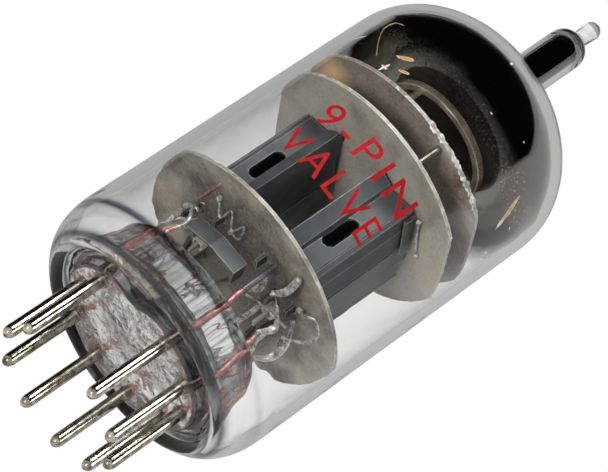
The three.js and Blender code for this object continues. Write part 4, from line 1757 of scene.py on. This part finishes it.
@dataclass
class GlintBlots:
    """Bright blots and fine specks in the film as painted glints, and a thin gold line as the getter ring's
    painted reflection.
    """

    gap: float
    thickness: float = 0.018
    corners: int = 20
    speck_radius: float = 0.03
    curl: tuple[Point, ...] = (
        (248.6, 27.1), (241.0, 28.7), (236.0, 30.1), (237.0, 31.1), (242.0, 31.2),
    )

    def on_film(self, envelope: GlassEnvelope, degrees: float, z: float) -> Vector:
        """Gives a place on the film.

        Args:
            envelope: The glass that holds it.
            degrees: Its angle.
            z: Its height.

        Returns:
            The place, in millimetres.
        """
        radius = envelope.radius - envelope.wall - self.gap
        over = max(z - envelope.straight_to, 0.0) / (envelope.dome_rise() - envelope.wall)
        reach = radius * math.sqrt(1 - over * over)
        turn = math.radians(degrees)
        return polar(reach, turn, z)

    def blot(self, bm: bmesh.types.BMesh, centre: Vector, sizes: tuple[float, float, float]) -> None:
        """Adds one lens-shaped blot that lies on the film.

        Args:
            bm: The bmesh to add to.
            centre: Its middle, on the film.
            sizes: Its half length, half width and tilt in degrees.
        """
        long, wide, tilt = sizes
        out = Vector((centre.x, centre.y, 0.0)).normalized()
        along = Vector((-out.y, out.x, 0.0)) * math.cos(math.radians(tilt))
        along += Vector((0.0, 0.0, math.sin(math.radians(tilt))))
        across = out.cross(along)
        rim = []
        for i in range(self.corners):
            turn = FULL_TURN * i / self.corners
            size = 1 + 0.5 * ripple(centre + along * math.cos(turn) + across * math.sin(turn), 2.0, 1.0)
            point = centre + (along * long * math.cos(turn) + across * wide * math.sin(turn)) * size
            flat = Vector((point.x, point.y, 0.0)).normalized() * math.hypot(centre.x, centre.y)
            rim.append(bm.verts.new((flat.x, flat.y, point.z)))
        front = bm.verts.new(centre + out * self.thickness)
        back = bm.verts.new(centre - out * self.thickness)
        for i, corner in enumerate(rim):
            after = rim[(i + 1) % self.corners]
            bm.faces.new((corner, after, front))
            bm.faces.new((after, corner, back))

    def build(self, envelope: GlassEnvelope, finishes: Finishes) -> None:
        """Builds the blots of each look, with the getter ring's painted reflection among the gold ones.

        Args:
            envelope: The glass that holds it.
            finishes: The tube's materials.
        """
        for look in ("gold_fleck", "pale_fleck"):
            bm = bmesh.new()
            for glint_row in GlintBlot:
                kind, degrees, z, *sizes = glint_row.value
                if kind == look:
                    self.blot(bm, self.on_film(envelope, degrees, z), tuple(sizes))
            if look == "gold_fleck":
                line = eased([tuple(self.on_film(envelope, *spot)) for spot in self.curl], 10)
                swept(bm, line, self.speck_radius, self.speck_radius, 8)
            finished("film_" + look, mesh_from(bm, "film_" + look), getattr(finishes, look))


# ---------------------------------------------------------------- straps


class Run(Enum):
    """Inner wires by what they join: each is a finish's name, half width, half height and route."""

    SLEEVE_1 = ("sleeve", 0.27, 0.27, ((3.5, -4.81, 7.3), (3.48, -4.84, 9.0), (3.45, -4.86, 10.62)))
    WELD_STRAP_2 = ("strap", 0.3, 0.05, (
        (5.66, -1.84, 7.2), (6.3, -2.5, 8.2), (5.3, -3.3, 9.1), (4.5, -2.9, 9.9), (4.2, -2.3, 10.6)))
    WELD_STRAP_3 = ("strap", 0.3, 0.05, (
        (5.66, 1.84, 7.2), (6.5, 1.3, 8.3), (6.7, 0.2, 9.3), (5.9, -0.6, 10.6)))
    WELD_STRAP_4 = ("strap", 0.22, 0.06, (
        (3.5, 4.81, 7.2), (3.9, 4.2, 8.5), (4.0, 3.0, 9.6), (3.95, 2.1, 10.6)))
    WELD_STRAP_5 = ("strap", 0.22, 0.06, (
        (0.0, 5.95, 7.2), (0.6, 5.0, 8.6), (1.6, 3.5, 9.5), (2.6, 1.2, 10.5)))
    WELD_STRAP_6 = ("strap", 0.22, 0.06, (
        (-3.5, 4.81, 7.2), (-3.8, 4.0, 8.5), (-4.0, 2.9, 9.6), (-3.95, 2.1, 10.6)))
    WELD_STRAP_7 = ("strap", 0.26, 0.05, (
        (-5.66, 1.84, 7.2), (-6.4, 1.2, 8.4), (-6.0, 0.2, 9.6), (-5.7, -0.3, 10.6)))
    WELD_STRAP_8 = ("strap", 0.2, 0.12, (
        (-5.66, -1.84, 7.2), (-6.2, -1.5, 8.2), (-5.5, -2.2, 9.3), (-4.3, -2.1, 10.6)))
    TAIL_9 = ("strap", 0.16, 0.16, (
        (-3.5, -4.81, 7.2), (-3.3, -5.3, 8.1), (-4.1, -5.0, 9.3), (-4.4, -4.0, 10.6)))
    HEATER_LINK = ("alumina", 0.1, 0.1, (
        (2.3, -1.1, 9.2), (3.0, -2.5, 8.5), (3.5, -1.3, 9.5), (4.1, -2.7, 8.6), (4.8, -1.1, 9.6),
        (5.3, -2.6, 8.7), (6.1, -0.9, 9.6)))
    BOWED_STRAP = ("strap", 0.13, 0.05, (
        (6.2, 0.2, 9.5), (7.3, -1.2, 9.0), (8.6, -2.4, 9.2), (9.0, -3.5, 9.6), (8.4, -4.4, 9.8),
        (7.5, -4.2, 9.5), (6.6, -3.2, 10.2)))
    CURLED_END = ("strap", 0.08, 0.08, (
        (-2.6, -6.7, 10.4), (-1.9, -5.6, 9.9), (-1.2, -6.7, 10.3), (-0.6, -5.4, 9.9), (0.2, -6.3, 10.3),
        (0.1, -5.0, 10.0), (-1.0, -4.4, 10.3)))
    CROSS_WIRE = ("dumet", 0.09, 0.09, ((-4.7, -4.6, 10.5), (-3.7, -6.4, 10.52), (-2.8, -8.0, 10.55)))
    SHORT_TAB = ("strap", 0.3, 0.04, ((4.7, -3.9, 9.3), (5.6, -4.9, 9.6), (6.0, -6.2, 10.3)))
    WELD_TAB = ("strap", 0.36, 0.05, ((2.7, -3.2, 8.3), (3.4, -3.4, 9.1), (3.5, -4.4, 9.5)))
    TIE_BAR = ("strap", 0.2, 0.05, ((-5.9, -2.2, 9.0), (-5.0, -4.2, 9.5), (-3.9, -4.9, 9.4)))
    LOCK_WIRE = ("strap", 0.12, 0.12, ((6.4, -3.3, 22.62), (6.55, -1.4, 22.6), (6.85, 0.5, 22.6)))
    # A dark strip stands in for the shade in a slot at the top of an anode's side wall.
    LOCK_LUG = ("anode", 0.16, 0.6, ((5.95, -3.5, 22.1), (6.0, -1.6, 22.15), (6.1, 0.3, 22.1)))


@dataclass
class Straps:
    """The welded straps, wire ends and weld beads round the foot of the cage and on its top disc."""

    sides: int = 16
    bead_radius: float = 0.24
    ribbon_node: str = "strap_9"

    def bead(self, place: Vector) -> bmesh.types.BMesh:
        """Makes one lumpy weld bead.

        Args:
            place: Its middle, in millimetres.

        Returns:
            The bead.
        """
        bm = bmesh.new()
        bmesh.ops.create_icosphere(bm, subdivisions=3, radius=self.bead_radius)
        for v in bm.verts:
            v.co = place + v.co * (1 + 0.5 * ripple(v.co + place, 3.0, 2.0))
        return bm

    def build(self, finishes: Finishes) -> None:
        """Sweeps every run, and beads both of its ends.

        Args:
            finishes: The tube's materials.
        """
        dress(self.ribbon_node, finishes.anode)
        for run in Run:
            look, half_width, half_height, route = run.value
            bm = bmesh.new()
            line = eased(route, 10)
            swept(bm, line, half_width, half_height, self.sides)
            if look == "strap":
                for end in (line[0], line[-1]):
                    part = bpy.data.meshes.new("bead")
                    bead = self.bead(end)
                    bead.to_mesh(part)
                    bead.free()
                    bm.from_mesh(part)
            number = run.name.rsplit("_", 1)[-1]
            nodes = [f"strap_{number}"] if number.isdigit() and number != "9" else []
            nodes = ["heater_link"] if run is Run.HEATER_LINK else nodes
            name = run.name.lower()
            finished(name, mesh_from(bm, name), getattr(finishes, look), nodes)


@dataclass
class MicaRims:
    """Split layers round the edge of each mica disc, flakier on one stretch of the uppermost."""

    layers: int = 3
    segments: int = 540
    jut: float = 0.045
    half_height: float = 0.05
    flaky_from: float = 288.0
    flaky_to: float = 332.0
    flaky_growth: float = 3.6

    def rim(self, node: str, flaky: bool, finishes: Finishes) -> bpy.types.Object:
        """Builds the layers round one disc.

        Args:
            node: The disc's CAD node.
            flaky: True for a ragged white stretch.
            finishes: The tube's materials.

        Returns:
            The rim.
        """
        low, high = span(node)
        flat = high.x
        full = high.y
        bm = bmesh.new()
        for layer in range(self.layers):
            level = low.z + (high.z - low.z) * (layer + 0.5) / self.layers

            def shape(r: float, z: float, turn: float, level: float = level) -> Vector:
                """Gives a point of one split layer's ragged edge.

                Args:
                    r: The point's radius, in millimetres.
                    z: Its height.
                    turn: Its angle, in radians.
                    level: The layer's height.

                Returns:
                    The point.
                """
                reach = min(full, flat / max(abs(math.cos(turn)), ON_AXIS))
                spot = polar(full, turn, level * 3)
                degrees = math.degrees(turn)
                ragged = self.flaky_growth if flaky and self.flaky_from < degrees < self.flaky_to else 1.0
                wide = self.jut * max(0.3 + 1.3 * ripple(spot, 2.2, 4.0), 0.05)
                tall = self.half_height * ragged * max(0.6 + 1.3 * ripple(spot, 4.3, 9.0), 0.15)
                out = reach - 0.05 + r * wide
                return polar(out, turn, level + z * tall)

            section = [(1.0, -1.0), (2.0, -0.6), (2.0, 0.6), (1.0, 1.0)]
            add_turned(bm, section, self.segments, shape=shape, ring=True)
        name = node + "_rim"
        return finished(name, mesh_from(bm, name, 30.0), finishes.mica_edge)

    def build(self, finishes: Finishes) -> None:
        """Builds all three rims."""
        for node in ("bottom_mica", "top_mica", "upper_mica"):
            self.rim(node, node == "upper_mica", finishes)


# ---------------------------------------------------------------- print


class Legend(Enum):
    """The generic words printed on the bulb, and the height of each row's middle."""

    UPPER = ("9-PIN", 19.7)
    LOWER = ("VALVE", 16.0)


@dataclass
class Printing:
    """Two rows of red letters wrapped round the bulb."""

    letter_height: float = 2.45
    arc_from: float = 260.0
    arc_to: float = 313.0
    spacing: float = 1.25
    film: float = 0.02
    slice_width: float = 0.25

    def row(self, words: str, radius: float) -> bmesh.types.BMesh:
        """Makes one flat row of letters, scaled to the row's height and arc, in millimetres.

        Args:
            words: What it says.
            radius: The bulb's radius.

        Returns:
            The row, lying flat.
        """
        curve = bpy.data.curves.new("legend", "FONT")
        curve.body = words
        curve.space_character = self.spacing
        host = bpy.data.objects.new("legend", curve)
        bpy.context.scene.collection.objects.link(host)
        mesh = bpy.data.meshes.new_from_object(host.evaluated_get(bpy.context.evaluated_depsgraph_get()))
        bpy.data.objects.remove(host)
        bm = bmesh.new()
        bm.from_mesh(mesh)
        xs = [v.co.x for v in bm.verts]
        ys = [v.co.y for v in bm.verts]
        long = math.radians(self.arc_to - self.arc_from) * radius
        for v in bm.verts:
            v.co.x = (v.co.x - min(xs)) / (max(xs) - min(xs)) * long
            v.co.y = ((v.co.y - min(ys)) / (max(ys) - min(ys)) - 0.5) * self.letter_height
        cuts = int(long / self.slice_width)
        for i in range(1, cuts):
            bmesh.ops.bisect_plane(
                bm, geom=[*bm.verts, *bm.edges, *bm.faces], plane_co=Vector((long * i / cuts, 0, 0)),
                plane_no=Vector((1, 0, 0)),
            )
        return bm

    def build(self, envelope: GlassEnvelope, finishes: Finishes) -> bpy.types.Object:
        """Wraps both rows round the bulb as one piece.

        Args:
            envelope: The glass that holds it.
            finishes: The tube's materials.

        Returns:
            The print.
        """
        whole = bmesh.new()
        for legend in Legend:
            words, height = legend.value
            flat = self.row(words, envelope.radius)
            for v in flat.verts:
                turn = math.radians(self.arc_from) + v.co.x / envelope.radius
                reach = envelope.radius + self.film
                v.co = polar(reach, turn, height + v.co.y)
            part = bpy.data.meshes.new("legend_part")
            flat.to_mesh(part)
            flat.free()
            whole.from_mesh(part)
        inward = [f for f in whole.faces if f.normal.xy.dot(f.calc_center_median().xy) < 0]
        bmesh.ops.reverse_faces(whole, faces=inward)
        return finished("printed_legend", mesh_from(whole, "printed_legend"), finishes.ink)


# ---------------------------------------------------------------- studio


@dataclass(frozen=True)
class View:
    """The camera's stance: below and in front of the base, rolled so that the tip is up and right."""

    azimuth: float = 25.19
    elevation: float = -27.86
    roll: float = 55.39
    distance: float = 196.0
    aim: Place = (-0.2, 1.48, 17.9)
    lens: float = 151.6

    def matrix(self) -> Matrix:
        """Gives the camera's place and turn, in metres.

        Returns:
            The camera's matrix.
        """
        a = math.radians(self.azimuth)
        e = math.radians(self.elevation)
        back = Vector((math.sin(a) * math.cos(e), -math.cos(a) * math.cos(e), math.sin(e)))
        level = Vector((0, 0, 1)).cross(back).normalized()
        up = back.cross(level)
        r = math.radians(self.roll)
        right = level * math.cos(r) + up * math.sin(r)
        top = back.cross(right)
        turn = Matrix((right, top, back)).transposed().to_4x4()
        return Matrix.Translation((Vector(self.aim) + back * self.distance) * MM) @ turn

    def build(self) -> None:
        """Makes the camera and sets it as the scene's."""
        data = bpy.data.cameras.new("camera")
        data.lens = self.lens
        data.clip_start = 0.01
        camera = bpy.data.objects.new("camera", data)
        camera.matrix_world = self.matrix()
        bpy.context.scene.collection.objects.link(camera)
        bpy.context.scene.camera = camera


class Lamp(Enum):
    """The soft lamps: each is its place, its width, its power in watts and the height that it looks at."""

    KEY_LAMP = ((-10, -265, 140), 130, 1.0, 18)
    FILL_LAMP = ((240, -120, 60), 120, 0.35, 20)
    FRONT_LAMP = ((0, -190, -160), 90, 0.7, 14)


@dataclass(frozen=True)
class Studio:
    """A pale floor, a pale backdrop behind a dark room, and soft lamps."""

    backdrop_side: Place = (0.153, 0.988, 0.022)
    backdrop_edge: float = 0.065
    edge_blur: float = 0.025
    brighter_way: Place = (0.849, 0.350, 0.085)
    mirrored_light: float = 0.46
    mirrored_gradient: float = 0.06
    least_mirrored: float = 0.3
    through_gradient: float = 0.4
    least_through: float = 0.8
    through_light: float = 0.95
    room_light: float = 0.004
    through_room: float = 0.15
    floor_size: float = 1.2
    floor_tone: Colour = tone(0.82, 0.82, 0.81)

    def world(self) -> None:
        """Builds surroundings that are white to the eye, with a backdrop and a dark room beyond it."""
        world = bpy.data.worlds.new("studio")
        bpy.context.scene.world = world
        world.use_nodes = True
        tree = world.node_tree
        tree.nodes.clear()

        def node(kind: str, operation: str = "") -> bpy.types.Node:
            """Adds a node with its operation.

            Args:
                kind: Blender's name for the node.
                operation: What it does.

            Returns:
                The node.
            """
            made = tree.nodes.new(kind)
            if operation:
                made.operation = operation
            return made

        def towards(way: Place) -> bpy.types.NodeSocket:
            """Gives how far a direction points one way.

            Args:
                way: The direction.

            Returns:
                The cosine of the angle between them.
            """
            made = node("ShaderNodeVectorMath", "DOT_PRODUCT")
            made.inputs[1].default_value = way
            tree.links.new(coordinates.outputs["Generated"], made.inputs[0])
            return made.outputs["Value"]

        def split(bright: float, gradient: float, least: float, dark: float) -> bpy.types.NodeSocket:
            """Gives the light of a direction: a graded backdrop, or the room on this side of its edge.

            Args:
                bright: The backdrop's middle light.
                gradient: How far the light changes to either side.
                least: The least light that the backdrop gives.
                dark: The room's light.

            Returns:
                The light.
            """
            graded = node("ShaderNodeMapRange")
            tree.links.new(towards(self.brighter_way), graded.inputs[0])
            for socket, value in zip(graded.inputs[1:5], (-1.0, 1.0, bright - gradient, bright + gradient)):
                socket.default_value = value
            held = node("ShaderNodeClamp")
            tree.links.new(graded.outputs[0], held.inputs["Value"])
            held.inputs["Min"].default_value = least
            held.inputs["Max"].default_value = 1.0
            made = node("ShaderNodeMapRange")
            tree.links.new(towards(self.backdrop_side), made.inputs[0])
            tree.links.new(held.outputs[0], made.inputs[4])
            low = self.backdrop_edge - self.edge_blur
            high = self.backdrop_edge + self.edge_blur
            for socket, value in zip(made.inputs[1:4], (low, high, dark)):
                socket.default_value = value
            return made.outputs[0]

        def choose(share: bpy.types.NodeSocket, first: object, second: object) -> bpy.types.NodeSocket:
            """Blends two lights by a share.

            Args:
                share: How much of the second, from 0 to 1.
                first: What it starts from.
                second: What it goes to.

            Returns:
                The blend.
            """
            made = node("ShaderNodeMix")
            tree.links.new(share, made.inputs[0])
            for socket, value in ((made.inputs[2], first), (made.inputs[3], second)):
                if isinstance(value, bpy.types.NodeSocket):
                    tree.links.new(value, socket)
                else:
                    socket.default_value = value
            return made.outputs[0]

        out = node("ShaderNodeOutputWorld")
        sky = node("ShaderNodeBackground")
        sky.inputs["Color"].default_value = tone(1.0, 1.0, 1.0)
        coordinates = node("ShaderNodeTexCoord")
        path = node("ShaderNodeLightPath")
        bounced = node("ShaderNodeMath", "ADD")
        tree.links.new(path.outputs["Glossy Depth"], bounced.inputs[0])
        tree.links.new(path.outputs["Diffuse Depth"], bounced.inputs[1])
        met = node("ShaderNodeMath", "GREATER_THAN")
        met.inputs[1].default_value = 0.5
        tree.links.new(bounced.outputs[0], met.inputs[0])
        mirrored = split(self.mirrored_light, self.mirrored_gradient, self.least_mirrored, self.room_light)
        through = split(self.through_light, self.through_gradient, self.least_through, self.through_room)
        seen = choose(path.outputs["Is Camera Ray"], through, 1.0)
        tree.links.new(choose(met.outputs[0], seen, mirrored), sky.inputs["Strength"])
        tree.links.new(sky.outputs[0], out.inputs["Surface"])

    def floor(self) -> None:
        """Lays the floor at the pin tips; its underside lets the eye through."""
        half = self.floor_size / 2
        level = CAD_BOX[0].z
        mesh = bpy.data.meshes.new("floor")
        corners = [(x * half, y * half, level) for x, y in ((-1, -1), (1, -1), (1, 1), (-1, 1))]
        mesh.from_pydata(corners, [], [(0, 1, 2, 3)])
        s = Shader("floor_paper")
        spots = s.grouped(MOTTLE, Patch_Size=40.0, Grain_Size=0.6)
        colour = s.mix_colour(spots.outputs["Patches"], self.floor_tone, tone(0.80, 0.80, 0.79))
        paper = s.principled(Base_Color=colour, Roughness=0.9)
        clear = s.node("ShaderNodeBsdfTransparent")
        side = s.node("ShaderNodeNewGeometry")
        mixed = s.node("ShaderNodeMixShader")
        s.join(side.outputs["Backfacing"], mixed.inputs[0])
        s.join(paper.outputs[0], mixed.inputs[1])
        s.join(clear.outputs[0], mixed.inputs[2])
        mesh.materials.append(s.show(mixed))
        floor = bpy.data.objects.new("floor", mesh)
        floor.visible_shadow = False
        bpy.context.scene.collection.objects.link(floor)

    def lamp(self, kind: Lamp, lit: bpy.types.Collection) -> None:
        """Hangs one soft lamp that looks at the tube.

        Args:
            kind: Its row.
            lit: What it lights; clear glass and the mirror are left out, so that they stay free of glare.
        """
        place, size, power, aim_height = kind.value
        name = kind.name.lower()
        data = bpy.data.lights.new(name, "AREA")
        data.shape = "DISK"
        data.size = size * MM
        data.energy = power
        lamp = bpy.data.objects.new(name, data)
        lamp.visible_camera = False
        lamp.visible_transmission = False
        lamp.light_linking.receiver_collection = lit
        lamp.location = Vector(place) * MM
        aim = Vector((0, 0, aim_height * MM)) - lamp.location
        lamp.rotation_mode = "QUATERNION"
        lamp.rotation_quaternion = aim.to_track_quat("-Z", "Y")
        bpy.context.scene.collection.objects.link(lamp)

    def build(self) -> None:
        """Builds the surroundings, the floor and the lamps, and sets how light is followed."""
        self.world()
        self.floor()
        lit = bpy.data.collections.new("lamp_lit")
        clear = {"glass_envelope", "getter_film"}
        for piece in bpy.context.scene.collection.all_objects:
            if piece.type == "MESH" and piece.name not in clear:
                lit.objects.link(piece)
        for kind in Lamp:
            self.lamp(kind, lit)
        scene = bpy.context.scene
        scene.view_settings.view_transform = "Standard"
        scene.cycles.use_denoising = True
        scene.cycles.max_bounces = 32
        scene.cycles.transmission_bounces = 24
        scene.cycles.transparent_max_bounces = 24
        scene.cycles.glossy_bounces = 10
        scene.cycles.diffuse_bounces = 4


# ---------------------------------------------------------------- main


def main() -> None:
    """Builds the studio and the tube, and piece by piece."""
    logging.basicConfig(level=logging.INFO)
    View().build()
    finishes = Finishes()
    envelope = GlassEnvelope()
    envelope.build(finishes)
    PinBase().build(finishes)
    Cage().build(finishes)
    GetterAssembly().build(envelope, finishes)
    Straps().build(finishes)
    MicaRims().build(finishes)
    Printing().build(envelope, finishes)
    Studio().build()


if __name__ == "__main__":
    main()
